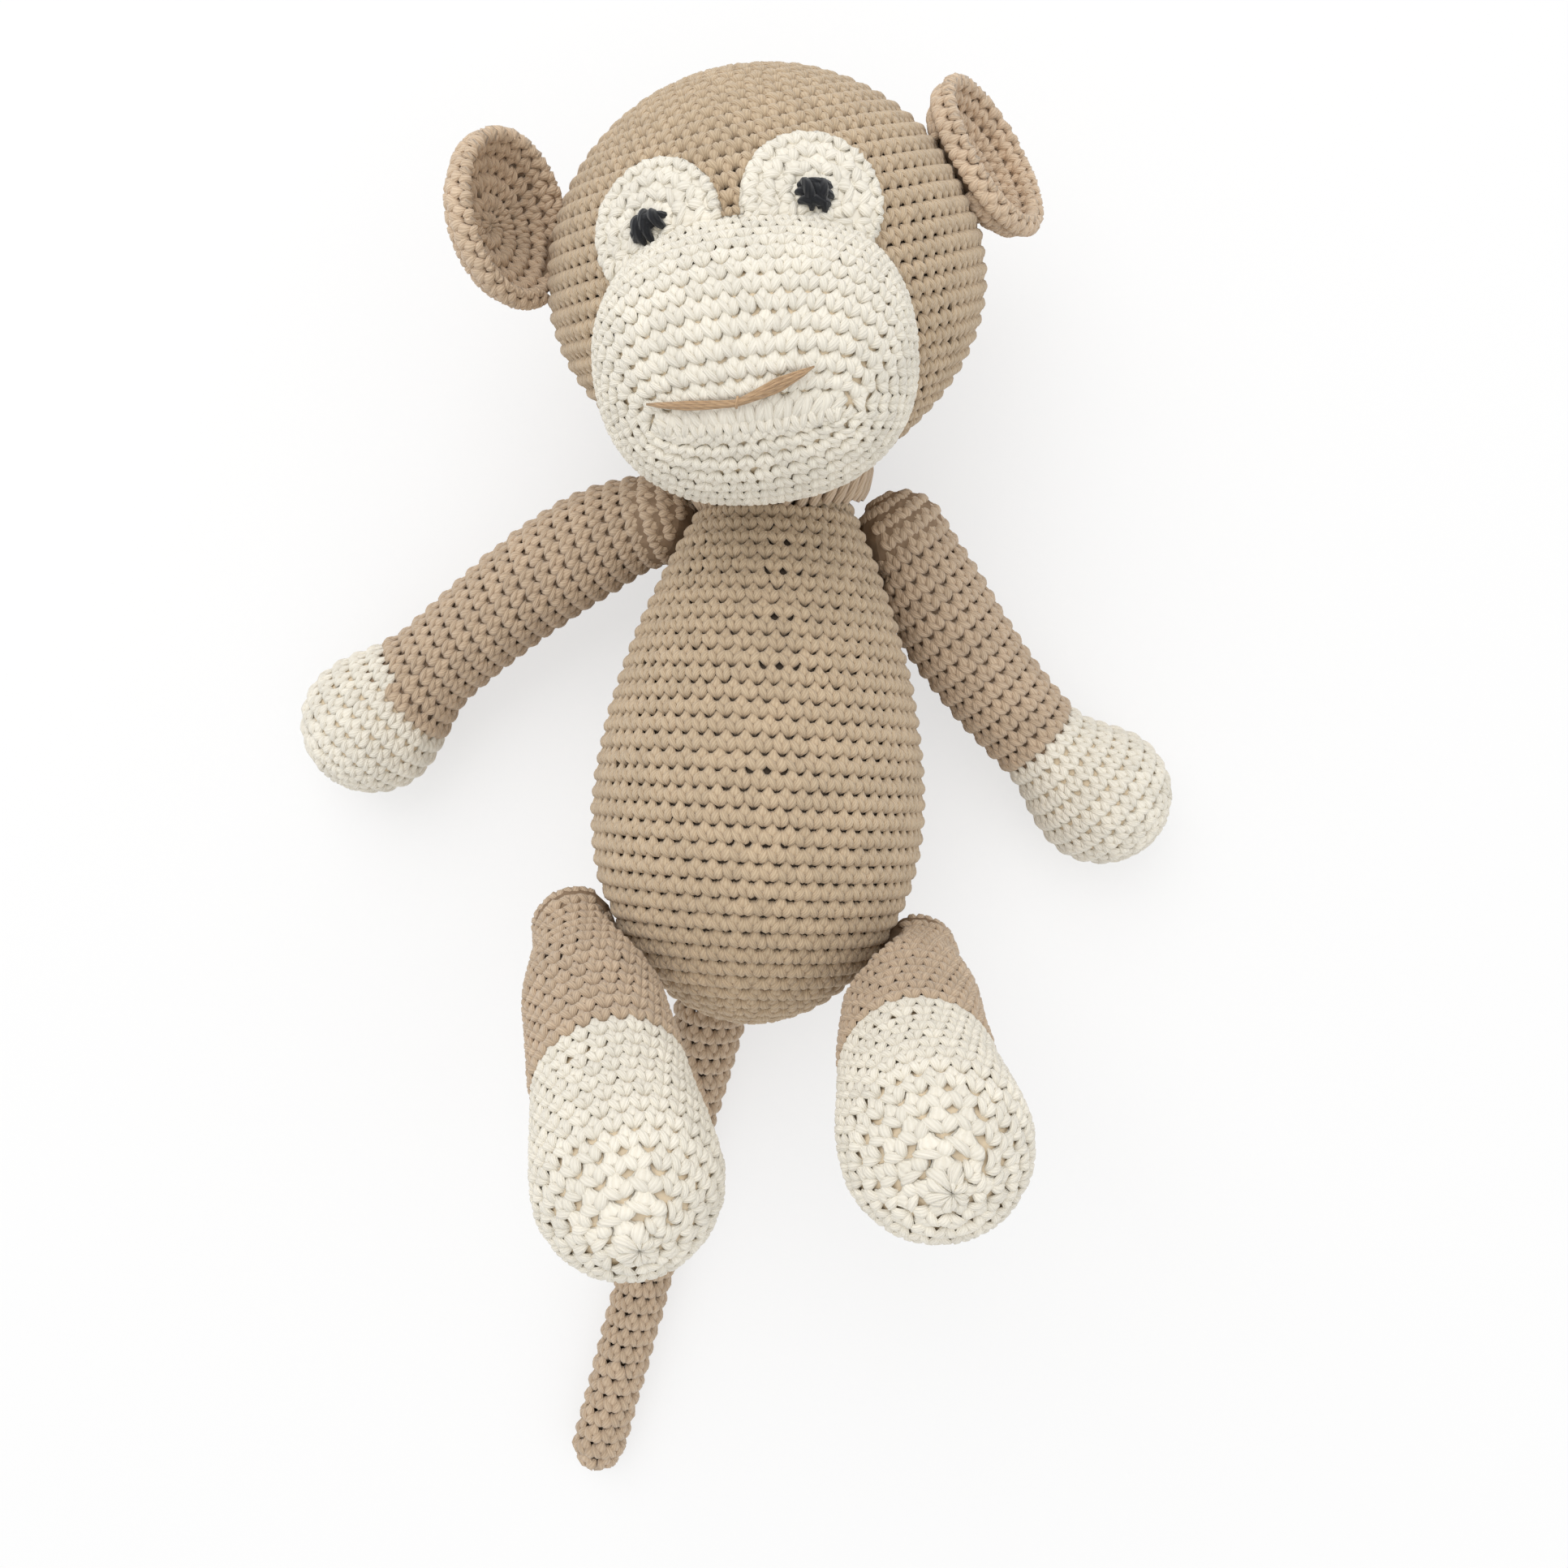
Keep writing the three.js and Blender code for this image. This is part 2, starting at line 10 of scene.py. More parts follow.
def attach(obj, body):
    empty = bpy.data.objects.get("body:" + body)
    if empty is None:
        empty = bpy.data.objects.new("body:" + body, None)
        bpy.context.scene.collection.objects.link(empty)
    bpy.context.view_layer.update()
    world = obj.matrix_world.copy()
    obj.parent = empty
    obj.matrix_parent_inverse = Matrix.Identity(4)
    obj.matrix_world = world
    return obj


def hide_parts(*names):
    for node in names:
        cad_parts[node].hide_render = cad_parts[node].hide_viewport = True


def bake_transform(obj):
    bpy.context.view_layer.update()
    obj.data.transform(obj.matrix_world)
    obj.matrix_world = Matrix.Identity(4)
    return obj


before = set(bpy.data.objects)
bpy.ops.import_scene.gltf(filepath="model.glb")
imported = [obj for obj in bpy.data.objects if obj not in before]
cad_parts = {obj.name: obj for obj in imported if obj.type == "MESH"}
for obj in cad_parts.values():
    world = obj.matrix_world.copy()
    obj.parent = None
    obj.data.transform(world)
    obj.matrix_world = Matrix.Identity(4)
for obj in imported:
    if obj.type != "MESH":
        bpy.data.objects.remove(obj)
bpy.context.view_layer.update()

# The toy's own sizes in millimetres, the same as in its solids.
BELLY, BELLY_LOW, TAPER_TIP, TAPER_POWER, REST_CUT = 40.5, 51.6, 105.0, 1.8, 0.5
AXIS_HEIGHT = BELLY - REST_CUT
HEAD, CROWN, CHIN, NECK_ZONE = 51.8, 49.0, 47.0, math.radians(36)
HEAD_AT = np.array([-6.2, 125.2, HEAD - 1.2])
NECK_AT = np.array([0.0, 125.2 - CHIN, AXIS_HEIGHT])
MUZZLE_WIDE, MUZZLE_TALL, MUZZLE_DEEP, MUZZLE_SQUARE = 34.3, 28.6, 31.5, 2.35
MUZZLE_OFF, MUZZLE_DIP, MUZZLE_ROLL = 50.0, math.radians(34.2), math.radians(10)
PATCH, PATCH_THICK = 14.2, 2.4
EAR_TALL, EAR_WIDE, EAR_DEEP, EAR_FABRIC = 20.0, 18.0, 11.0, 3.6
ROOT_PRESS, GAP = 0.8, 0.3

# Metres in a millimetre.
MM = 0.001

# Crochet gauge, and how far the yarn stands above and the stuffing lies below the rows' own surface. That surface
# lies inside the solids' by the inset, and above the floor by the lift.
PITCH, ROW = 3.9, 4.0
PROUD, SUNK, CREAM_SUNK = 1.85, 0.9, 0.35
INSET = 0.9
FLOOR_LIFT = PROUD + 0.05


def unit(v):
    v = np.asarray(v, float)
    return v / np.linalg.norm(v)


def facing(direction, side):
    """Columns x, y, z of a frame whose z points along a direction and whose x lies near a side."""
    z = unit(direction)
    x = unit(np.asarray(side, float) - z * np.dot(side, z))
    return x, np.cross(z, x), z


# ---- The toy's forms, as grids of points: rows from a first round outwards, columns to the right.
ROWS, COLUMNS, LINE_STEPS = 140, 160, 240
TURN = 2 * np.pi * np.arange(COLUMNS) / COLUMNS


def even_rows(points, slack=0.0):
    """Resamples each column of a grid to steps along its length, even or longer by a share at the start."""
    step = np.linalg.norm(np.diff(points, axis=0), axis=2)
    along = np.vstack([np.zeros(points.shape[1]), np.cumsum(step, axis=0)])
    want = np.linspace(0, 1, ROWS)
    want = want * (1 + slack) - slack * want ** 2
    out = np.empty((ROWS, points.shape[1], 3))
    for c in range(points.shape[1]):
        for k in range(3):
            out[:, c, k] = np.interp(want * along[-1, c], along[:, c], points[:, c, k])
    return out


def normals(p):
    """Unit normals of a grid. A round drawn together to a point takes those of a round near it."""
    right = np.roll(p, -1, axis=1) - np.roll(p, 1, axis=1)
    up = np.gradient(p, axis=0)
    n = np.cross(right, up)
    size = np.linalg.norm(n, axis=2, keepdims=True)
    n = n / np.maximum(size, 1e-9)
    for row, near in ((0, 2), (1, 2), (-1, -3), (-2, -3)):
        if size[row].mean() < 0.25 * size[near].mean():
            n[row] = unit(n[near].mean(axis=0))
    return n


def pushed(p, centre, radius, keep=None):
    """Points inside a ball move out to its surface."""
    d = p - centre
    r = np.linalg.norm(d, axis=2, keepdims=True)
    inside = r < radius
    if keep is not None:
        inside &= keep[..., None]
    return np.where(inside, centre + d / np.maximum(r, 1e-9) * radius, p)


def lathe(profile, origin, x, y, z):
    """Revolves (radius, height) points about y through an origin, to the right as seen from outside."""
    r, h = np.array(profile).T
    ring = np.cos(TURN)[None, :, None] * x - np.sin(TURN)[None, :, None] * z
    return origin + r[:, None, None] * ring + h[:, None, None] * np.asarray(y)


def body_radius(y):
    """The belly is an ellipse below its widest place and tapers to a tip that the head covers."""
    low = BELLY * np.sqrt(np.clip(1 - (y / BELLY_LOW) ** 2, 0, 1))
    high = BELLY * (1 - (np.clip(y, 0, None) / TAPER_TIP) ** TAPER_POWER)
    return np.where(y < 0, low, high)


def body_seat(height, turn, root):
    """Where a limb's round root sits on the body: its middle, and the body's normal there."""
    step = 0.01
    slope = (body_radius(height + step) - body_radius(height - step)) / (2 * step)
    out = np.array([math.cos(turn), 0, math.sin(turn)])
    point = out * float(body_radius(np.array(height))) + [0, height, AXIS_HEIGHT]
    normal = unit(out - np.array([0, float(slope), 0]))
    return point + normal * (root - ROOT_PRESS), normal


ARM_ROOT, LEG_ROOT, TAIL_ROOT = 11.5, 10.0, 9.2
SEATS = {
    "right_arm": body_seat(66.6, math.pi + math.radians(14), ARM_ROOT) + (ARM_ROOT,),
    "left_arm": body_seat(66.8, -math.radians(14), ARM_ROOT) + (ARM_ROOT,),
    "right_leg": body_seat(-27, math.pi - math.radians(8), LEG_ROOT) + (LEG_ROOT,),
    "left_leg": body_seat(-28.6, math.radians(-3), LEG_ROOT) + (LEG_ROOT,),
    "tail": body_seat(-44, math.radians(250.6), TAIL_ROOT) + (TAIL_ROOT,),
}


def settled(p):
    """The toy's own weight flattens it where it meets the floor."""
    p = p.copy()
    p[..., 2] = np.maximum(p[..., 2], FLOOR_LIFT)
    return p


def body_grid():
    low = -BELLY_LOW * np.cos(np.linspace(0, np.pi / 2, 60))
    y = np.concatenate([low, np.linspace(0, 90, 90)[1:]])
    r = np.maximum(body_radius(y) - INSET, 0)
    r[0] = 0
    y = np.where(y < 0, y * (BELLY_LOW - INSET) / BELLY_LOW, y)
    p = lathe(np.stack([r, y], 1), [0, 0, AXIS_HEIGHT], np.array([1, 0, 0]), [0, 1, 0], np.array([0, 0, 1]))
    p = even_rows(p, slack=0.08)
    for joint, _normal, root in SEATS.values():
        p = pushed(p, joint, root + 2 * PROUD - INSET)
    return settled(p)


HEAD_AXIS = unit(HEAD_AT - NECK_AT)
HEAD_POLE = unit([-0.28, 0.91, 0.30])


def ease(t, low, high):
    """From 0 at low to 1 at high, level at both."""
    t = np.clip((t - low) / (high - low), 0, 1)
    return t * t * (3 - 2 * t)


def head_reach(direction):
    """From the head's middle to its cover: a ball that is flatter at the crown and on the neck."""
    from_neck = np.pi - np.arccos(np.clip(direction @ HEAD_AXIS, -1, 1))
    below = CHIN + (HEAD - CHIN) * ease(from_neck, NECK_ZONE, np.pi / 2)
    return below - (HEAD - CROWN) * ease(from_neck, np.pi / 2, np.pi)


def head_grid():
    x, z, y = facing(HEAD_POLE, [1, 0, 0])
    polar = np.linspace(0, np.pi * 0.93, ROWS)
    ring = np.cos(TURN)[:, None] * x + np.sin(TURN)[:, None] * z
    d = np.sin(polar)[:, None, None] * ring + np.cos(polar)[:, None, None] * y
    p = HEAD_AT + d * (head_reach(d) - INSET)[..., None]
    return settled(even_rows(p))


MUZZLE_OUT = np.array([0, -math.sin(MUZZLE_DIP), math.cos(MUZZLE_DIP)])
MX, MY, MZ = facing(MUZZLE_OUT, [1, 0, 0])
ROLL_COS, ROLL_SIN = math.cos(MUZZLE_ROLL), math.sin(MUZZLE_ROLL)
MX, MY = MX * ROLL_COS + MY * ROLL_SIN, MY * ROLL_COS - MX * ROLL_SIN
MUZZLE_AT = HEAD_AT + MUZZLE_OUT * MUZZLE_OFF
CHAIN_LEFT, CHAIN_RIGHT, CHAIN_V = -17.0, 16.0, -3.0


def muzzle_level(p, grow=0.0):
    """Below 1 inside the muzzle, above 1 outside."""
    q = p - MUZZLE_AT
    n = MUZZLE_SQUARE
    flat = np.abs(q @ MX / (MUZZLE_WIDE + grow)) ** n + np.abs(q @ MY / (MUZZLE_TALL + grow)) ** n
    return flat + np.abs(q @ MZ / (MUZZLE_DEEP + grow)) ** n


def muzzle_point(u, v, z):
    """A point across, up and out of the muzzle's middle."""
    return MUZZLE_AT + u[..., None] * MX + v[..., None] * MY + z[..., None] * MZ


def muzzle_grid():
    """Rounds run about a short chain of stitches, so each column starts on the chain and ends on the head."""
    n = MUZZLE_SQUARE
    wide, tall, deep = MUZZLE_WIDE - INSET, MUZZLE_TALL - INSET, MUZZLE_DEEP - INSET
    c, s = np.cos(TURN), np.sin(TURN)
    rim = 1 / (np.abs(c / wide) ** n + np.abs(s / tall) ** n) ** (1 / n)
    rim_u, rim_v = rim * c, rim * s
    blend = (rim_u / wide + 1) / 2
    start_u = CHAIN_LEFT + (CHAIN_RIGHT - CHAIN_LEFT) * blend
    start_v = np.full_like(start_u, CHAIN_V)
    share = np.sin(np.linspace(0, np.pi / 2, 70))
    u = start_u + share[:, None] * (rim_u - start_u)
    v = start_v + share[:, None] * (rim_v - start_v)
    level = np.abs(u / wide) ** n + np.abs(v / tall) ** n
    top = muzzle_point(u, v, deep * np.clip(1 - level, 0, 1) ** (1 / n))
    lean = np.linspace(0, 0.75, 40)[1:, None]
    grow = np.cos(lean) ** (2 / n)
    under = muzzle_point(rim_u * grow, rim_v * grow, -deep * np.sin(lean) ** (2 / n) * np.ones_like(c))
    p = np.concatenate([top, under])
    clear = np.linalg.norm(p - HEAD_AT, axis=2) > HEAD + PROUD - INSET
    out = np.empty((ROWS, COLUMNS, 3))
    for k in range(COLUMNS):
        last = len(p) - 1 if clear[:, k].all() else max(8, int(np.argmin(clear[:, k])))
        out[:, k:k + 1] = even_rows(p[:last + 1, k:k + 1])
    return out


def curve_points(points):
    """Even steps along a curve, and its length."""
    points = np.array(points, float)
    at = np.concatenate([[0], np.cumsum(np.linalg.norm(np.diff(points, axis=0), axis=1))])
    want = np.linspace(0, at[-1], LINE_STEPS)
    return np.stack([np.interp(want, at, points[:, k]) for k in range(3)], 1), at[-1]


def limb_line(joint, reach, heading, along, aside, bow_height, end_height):
    """From the seat through a bow, a share of the reach along the heading and aside of it, to the end."""
    out = np.array([math.cos(heading), math.sin(heading), 0])
    side = np.array([-out[1], out[0], 0])
    bow = joint + out * along * reach + side * aside * reach
    end = joint + out * reach
    bow[2], end[2] = bow_height, end_height
    t = np.linspace(0, 1, LINE_STEPS)[:, None]
    return curve_points((1 - t) ** 2 * joint + 2 * t * (1 - t) * bow + t ** 2 * end)[0]


def limb_grid(line, keys, flank=None):
    """Rounds run from the closed tip, down the limb, to the gathered end at its root."""
    line, length = curve_points(line)
    tangent = np.gradient(line, axis=0)
    tangent /= np.linalg.norm(tangent, axis=1)[:, None]
    shares, radii = np.array(keys).T
    tip, root = radii[-1] - INSET, radii[0] - INSET
    a = np.linspace(0, np.pi / 2, 30)
    share = np.linspace(1, 0, 120)[1:-1]
    tube = np.empty_like(share)
    for i in range(1, len(keys)):
        here = (share >= shares[i - 1]) & (share <= shares[i])
        tube[here] = radii[i - 1] + (radii[i] - radii[i - 1]) * ease(share[here], shares[i - 1], shares[i])
    r = np.concatenate([tip * np.sin(a), tube - INSET, root * np.cos(a)])
    at = np.concatenate([length + tip * np.cos(a), share * length, -root * np.sin(a)])
    on = np.clip(at, 0, length)
    index = on / length * (len(line) - 1)
    centre = np.stack([np.interp(index, np.arange(len(line)), line[:, k]) for k in range(3)], 1)
    t = np.stack([np.interp(index, np.arange(len(line)), tangent[:, k]) for k in range(3)], 1)
    t /= np.linalg.norm(t, axis=1)[:, None]
    centre = centre + t * (at - on)[:, None]
    side = np.array([0.31, 0.52, 0.79])  # No limb runs this way, so a frame can be built on it.
    x = side - t * (t @ side)[:, None]
    x /= np.linalg.norm(x, axis=1)[:, None]
    y = np.cross(t, x)
    ring = np.cos(TURN)[None, :, None] * x[:, None] - np.sin(TURN)[None, :, None] * y[:, None]
    p = even_rows(centre[:, None] + r[:, None, None] * ring)
    if flank is not None:
        joint, normal, root_radius, size = flank
        middle = joint - normal * (size + root_radius - ROOT_PRESS - GAP)
        free = np.linalg.norm(p - joint, axis=2) > root_radius
        p = pushed(p, middle, size + 2 * PROUD - INSET, free)
    return settled(p)


def ear_grid(middle, opens, tall):
    """One round of rows: up the outside of the cup, over its rolled rim and down inside."""
    along, across, out = facing(opens, tall)
    rim = EAR_FABRIC / 2
    a = np.linspace(0, np.pi / 2, 40)
    outer = np.stack([(EAR_TALL - INSET) * np.sin(a), -(EAR_DEEP - INSET) * np.cos(a)], 1)
    b = np.linspace(0, np.pi, 14)[1:-1]
    roll = np.stack([EAR_TALL - rim + (rim - INSET) * np.cos(b), (rim - INSET) * np.sin(b)], 1)
    tall_in, deep_in = EAR_TALL - EAR_FABRIC + INSET, EAR_DEEP - EAR_FABRIC + INSET
    inner = np.stack([tall_in * np.sin(a), -deep_in * np.cos(a)], 1)[::-1]
    p = lathe(np.concatenate([outer, roll, inner]), np.array(middle, float), along, out,
              -across * EAR_WIDE / EAR_TALL)
    return even_rows(p)


def patch_grid(towards):
    """A flat round on the head that faces away from its middle, with its edge turned down."""
    x, z, out = facing(towards, [1, 0, 0])
    spread = math.asin(PATCH / HEAD)
    polar = np.concatenate([np.linspace(0, spread, 60), np.full(12, spread)])
    lift = np.concatenate([np.full(60, PATCH_THICK), np.linspace(PATCH_THICK, 0.4, 12)])
    ring = np.cos(TURN)[:, None] * x + np.sin(TURN)[:, None] * z
    d = np.sin(polar)[:, None, None] * ring + np.cos(polar)[:, None, None] * out
    p = HEAD_AT + d * (head_reach(d) + lift[:, None] - INSET * 0.5)[..., None]
    return even_rows(p)


def turned(grid):
    """Makes columns run to the right as seen from outside, with normals pointing out."""
    n = normals(grid)
    middle = grid.reshape(-1, 3).mean(axis=0)
    if np.sum((grid - middle) * n) < 0:
        grid = grid[:, ::-1]
        n = normals(grid)
    return grid, n


def sample(field, a, s):
    """Value of a grid at shares a of its rows and s of its columns."""
    rows, columns = field.shape[:2]
    a = np.clip(a, 0, 1) * (rows - 1)
    s = (s % 1.0) * columns
    i, j = np.minimum(a.astype(int), rows - 2), s.astype(int) % columns
    fa, fs = (a - i)[..., None], (s - np.floor(s))[..., None]
    k = (j + 1) % columns
    low = field[i, j] * (1 - fs) + field[i, k] * fs
    high = field[i + 1, j] * (1 - fs) + field[i + 1, k] * fs
    return low * (1 - fa) + high * fa


# ---- One stitch: two plump legs of yarn rise out of a hole, spread, and bend in under a loop at the top.
SIDES = 6
LEG = np.array([
    # row, aside in stitches, out in mm, half width and half thickness in mm
    [0.17, 0.060, -1.60, 0.48, 0.50],
    [0.23, 0.085, -0.70, 0.66, 0.60],
    [0.31, 0.135, 0.08, 0.90, 0.72],
    [0.42, 0.205, 0.62, 1.08, 0.80],
    [0.54, 0.280, 0.82, 1.12, 0.85],
    [0.67, 0.350, 0.62, 1.04, 0.80],
    [0.78, 0.400, 0.05, 0.88, 0.70],
    [0.87, 0.430, -0.90, 0.62, 0.55],
])
LOOP = np.array([
    # row, aside in stitches, out in mm, half width and half thickness in mm
    [0.50, 0.00, -0.70, 0.50, 0.50],
    [0.60, 0.00, 0.00, 0.95, 0.65],
    [0.73, 0.00, 0.25, 1.42, 0.75],
    [0.87, 0.00, 0.20, 1.66, 0.80],
    [0.99, 0.00, 0.02, 1.42, 0.80],
    [1.12, 0.00, -0.08, 1.04, 0.72],
    [1.27, 0.00, -0.14, 0.94, 0.70],
    [1.42, 0.00, -0.50, 0.66, 0.55],
])
# The half widths above are those of a stitch of this pitch.
DRAWN_AT = 3.9
# The first rounds are drawn together: by how many rows in all, and over how many.
DRAWN_ROWS, DRAWN_OVER = 0.7, 1.6
# How far a foot stands aside of its head, and at most, in stitches; how far legs spread over an increase; and the
# length of round in mm from which increases come in sixes.
SKEW, MOST_LEAN, MOST_SPREAD, WIDE_ROUND = -0.18, 0.4, 1.4, 120
# How far one stitch differs from the next: in shares of a stitch, and its rise in mm.
DRIFT, PLUMP, RISE, SHIFT = 0.03, 0.05, 0.09, 0.012


def strand(path, sign, pitch, row):
    """Rings of points round a path, in stitches, rows and millimetres."""
    centre = np.stack([path[:, 1] * sign * pitch, path[:, 0] * row, path[:, 2]], 1)
    tangent = np.gradient(centre, axis=0)
    tangent /= np.linalg.norm(tangent, axis=1)[:, None]
    across = np.cross(tangent, [0, 0, 1])
    across /= np.linalg.norm(across, axis=1)[:, None]
    out = np.cross(across, tangent)
    turn = 2 * np.pi * np.arange(SIDES) / SIDES
    v = centre[:, None] + np.cos(turn)[:, None] * (across * path[:, 3:4] * pitch / DRAWN_AT)[:, None]
    v += np.sin(turn)[:, None] * (out * path[:, 4:5])[:, None]
    along = np.concatenate([[0], np.cumsum(np.linalg.norm(np.diff(centre, axis=0), axis=1))])
    return v.reshape(-1, 3) / [pitch, row, 1], along


def shortened(a, count):
    """Rows from the start, where the first few are shorter, since they are drawn together."""
    return a - DRAWN_ROWS * (1 - np.exp(-a / DRAWN_OVER)) * (1 - a / count)


def rounds(grid, pitch=PITCH, row=ROW):
    """The stitches of one long spiral, each with its row, the places of foot and head round it, width and spread, and
    the count of rows. A round is half a stitch short, so that feet stand in the slits of the round before."""
    rows, columns = grid.shape[:2]
    length = np.linalg.norm(np.diff(grid, axis=0), axis=2).sum(axis=0).mean()
    count = max(3, round(length / row))
    places = np.arange(columns + 1) / columns
    at, head, width, slit = [], [], [], []
    t = 0.0
    for r in range(count):
        on = min(shortened(r + 0.6, count) / count * (rows - 1), rows - 1.001)
        i = int(on)
        ring = grid[i] * (1 - on + i) + grid[i + 1] * (on - i)
        arc = np.concatenate([[0], np.cumsum(np.linalg.norm(np.roll(ring, -1, axis=0) - ring, axis=1))])
        step = 6 if arc[-1] > WIDE_ROUND else 3
        n = max(6, step * round(arc[-1] / pitch / step)) - 0.5 - SKEW
        steps = t + np.arange(math.ceil((r + 1 - t) * n)) / n

        def place(v):
            return np.interp(v % 1, arc / arc[-1], places) + np.floor(v)

        at.append(steps)
        head.append(place(steps))
        width.append(place(steps + 0.5 / n) - place(steps - 0.5 / n))
        slit.append(place(steps + 0.5 / n))
        t = steps[-1] + 1 / n
    at, head, width, slit = (np.concatenate(v) for v in (at, head, width, slit))
    want = head - SKEW * width - 1
    near = np.clip(np.searchsorted(slit, want)[:, None] + np.arange(-2, 3), 0, len(slit) - 1)
    best = near[np.arange(len(at)), np.argmin(np.abs(slit[near] - want[:, None]), axis=1)]
    foot = np.where(want > slit[0] - 0.5 * width[0], slit[best] + 1, head)
    lean = np.pad((foot - head) / width, 2, mode="edge")
    lean = np.convolve(lean, np.array([1, 2, 3, 2, 1]) / 9, mode="valid")
    foot = head + np.clip(lean, -MOST_LEAN, MOST_LEAN) * width
    spread = np.clip(np.diff(foot, append=foot[-1] + width[-1]) / width, 1, MOST_SPREAD)
    spread = np.maximum(spread, np.roll(spread, 1))
    return np.stack([at, foot, head, width, spread], 1), count


def fill_mesh(name, verts, faces, uv, tone):
    """A mesh from points in millimetres, quads, and their yarn coordinates."""
    mesh = bpy.data.meshes.new(name)
    mesh.vertices.add(len(verts))
    mesh.vertices.foreach_set("co", (verts * MM).ravel())
    mesh.loops.add(faces.size)
    mesh.loops.foreach_set("vertex_index", faces.ravel().astype(np.int32))
    mesh.polygons.add(len(faces))
    mesh.polygons.foreach_set("loop_start", (np.arange(len(faces)) * 4).astype(np.int32))
    mesh.polygons.foreach_set("use_smooth", np.ones(len(faces), bool))
    layer = mesh.uv_layers.new(name="Yarn")
    layer.data.foreach_set("uv", uv.astype(np.float32).ravel())
    shade = mesh.attributes.new("tone", "FLOAT", "POINT")
    shade.data.foreach_set("value", tone.astype(np.float32))
    mesh.update(calc_edges=True)
    return mesh


def tube_faces(rings):
    """Quads between the rings of one strand."""
    i, j = np.meshgrid(np.arange(rings - 1), np.arange(SIDES), indexing="ij")
    k = (j + 1) % SIDES
    quads = np.stack([i * SIDES + j, i * SIDES + k, (i + 1) * SIDES + k, (i + 1) * SIDES + j], -1)
    return quads.reshape(-1, 4)


def tube_uv(along, phase):
    """Millimetres along the strand and turns round it, for every corner of every quad."""
    rings = len(along)
    i, j = np.meshgrid(np.arange(rings - 1), np.arange(SIDES), indexing="ij")
    u = np.stack([along[i], along[i], along[i + 1], along[i + 1]], -1).reshape(-1, 4)
    v = np.stack([j, j + 1, j + 1, j], -1).reshape(-1, 4) / SIDES
    return np.stack([u, v], -1)[None] + np.stack([phase, phase * 0.37], -1)[:, None, None, :]


def yarn_mesh(name, grid, n, stitches, count, seed, pitch=PITCH, row=ROW, flat=1.0):
    """The yarn of the given stitches as one mesh: a leg to each side and the loop over them. They widen where the
    rows stand far apart, and the first round is drawn in to the middle."""
    rng = np.random.default_rng(seed)
    total = len(stitches)
    at, foot, head, width, spread = stitches.T
    drift = rng.normal(0, DRIFT, (total, 1))
    plump = 1 + rng.normal(0, PLUMP, (total, 1))
    rise = rng.normal(0, RISE, (total, 1))
    shade = rng.random(total)
    above = sample(grid, np.minimum(at + 1, count) / count, head)
    tall = np.linalg.norm(above - sample(grid, at / count, head), axis=1) / row
    tall = np.clip((tall - 1.1) * 1.3, 0, 1)[:, None]
    first = at[:, None] < 1
    verts, faces, uvs, tones, base = [], [], [], [], 0
    for path, sign in ((LEG, 1), (LEG, -1), (LOOP, 1)):
        t, along = strand(path, sign, pitch, row)
        x, y, z = t[:, 0][None], t[:, 1][None], t[:, 2][None] * flat
        z = np.where(first, np.maximum(z, -0.4), z)
        share = np.clip(y, 0, 1)
        shift = rng.normal(0, SHIFT, (total, 1))
        centre = foot[:, None] * (1 - share) + head[:, None] * share
        widened = tall * np.where(y > 0.9, 0.6, np.where(y < 0.3, 0.4, 0))
        wide = spread[:, None] * (1 - share) + share + widened
        s = centre + (x * plump * wide + drift * share + shift) * width[:, None]
        drawn_in = np.where(first, ease(y, LEG[0, 0], 0.7), 1)
        a = at[:, None] * drawn_in + y * (0.3 + 0.7 * drawn_in) + drift * 0.5
        a = shortened(np.maximum(a, 0.02), count) / count
        p = sample(grid, a, s)
        out = sample(n, a, s)
        out /= np.linalg.norm(out, axis=2, keepdims=True)
        v = p + out * (np.minimum(z, PROUD * flat) + rise * share)[..., None]
        v[..., 2] = np.maximum(v[..., 2], 0.02)
        per = t.shape[0]
        quads = tube_faces(len(path))
        verts.append(v.reshape(-1, 3))
        faces.append((quads[None] + (base + np.arange(total) * per)[:, None, None]).reshape(-1, 4))
        uvs.append(tube_uv(along, rng.random(total) * 7).reshape(-1, 2))
        tones.append(np.repeat(shade, per))
        base += total * per
    return fill_mesh(name, *(np.concatenate(v) for v in (verts, faces, uvs, tones)))


# ---- Materials.
def linear(rgb):
    """A display colour from 0 to 255 in the scene's linear light."""
    shares = [c / 255 for c in rgb]
    return tuple(c / 12.92 if c <= 0.04045 else ((c + 0.055) / 1.055) ** 2.4 for c in shares)


def join(tree, made, sockets):
    """Gives a node's inputs numbers, colours or the outputs of other nodes."""
    for name, value in sockets.items():
        if isinstance(value, bpy.types.NodeSocket):
            tree.links.new(value, made.inputs[name])
        else:
            made.inputs[name].default_value = value


def maths(tree, operation, *values):
    made = tree.nodes.new("ShaderNodeMath")
    made.operation = operation
    join(tree, made, dict(enumerate(values)))
    return made.outputs[0]


def noise(tree, vector, scale, detail):
    made = tree.nodes.new("ShaderNodeTexNoise")
    join(tree, made, {"Vector": vector, "Scale": scale, "Detail": detail})
    return made.outputs["Fac"]


def between(tree, value, low, high, to_low=0.0, to_high=1.0):
    made = tree.nodes.new("ShaderNodeMapRange")
    join(tree, made, {"Value": value, "From Min": low, "From Max": high, "To Min": to_low, "To Max": to_high})
    return made.outputs["Result"]


def mixed(tree, factor, a, b, blend="MIX"):
    made = tree.nodes.new("ShaderNodeMix")
    made.data_type = "RGBA"
    made.blend_type = blend
    join(tree, made, {"Factor": factor, "A": a, "B": b})
    return made.outputs["Result"]


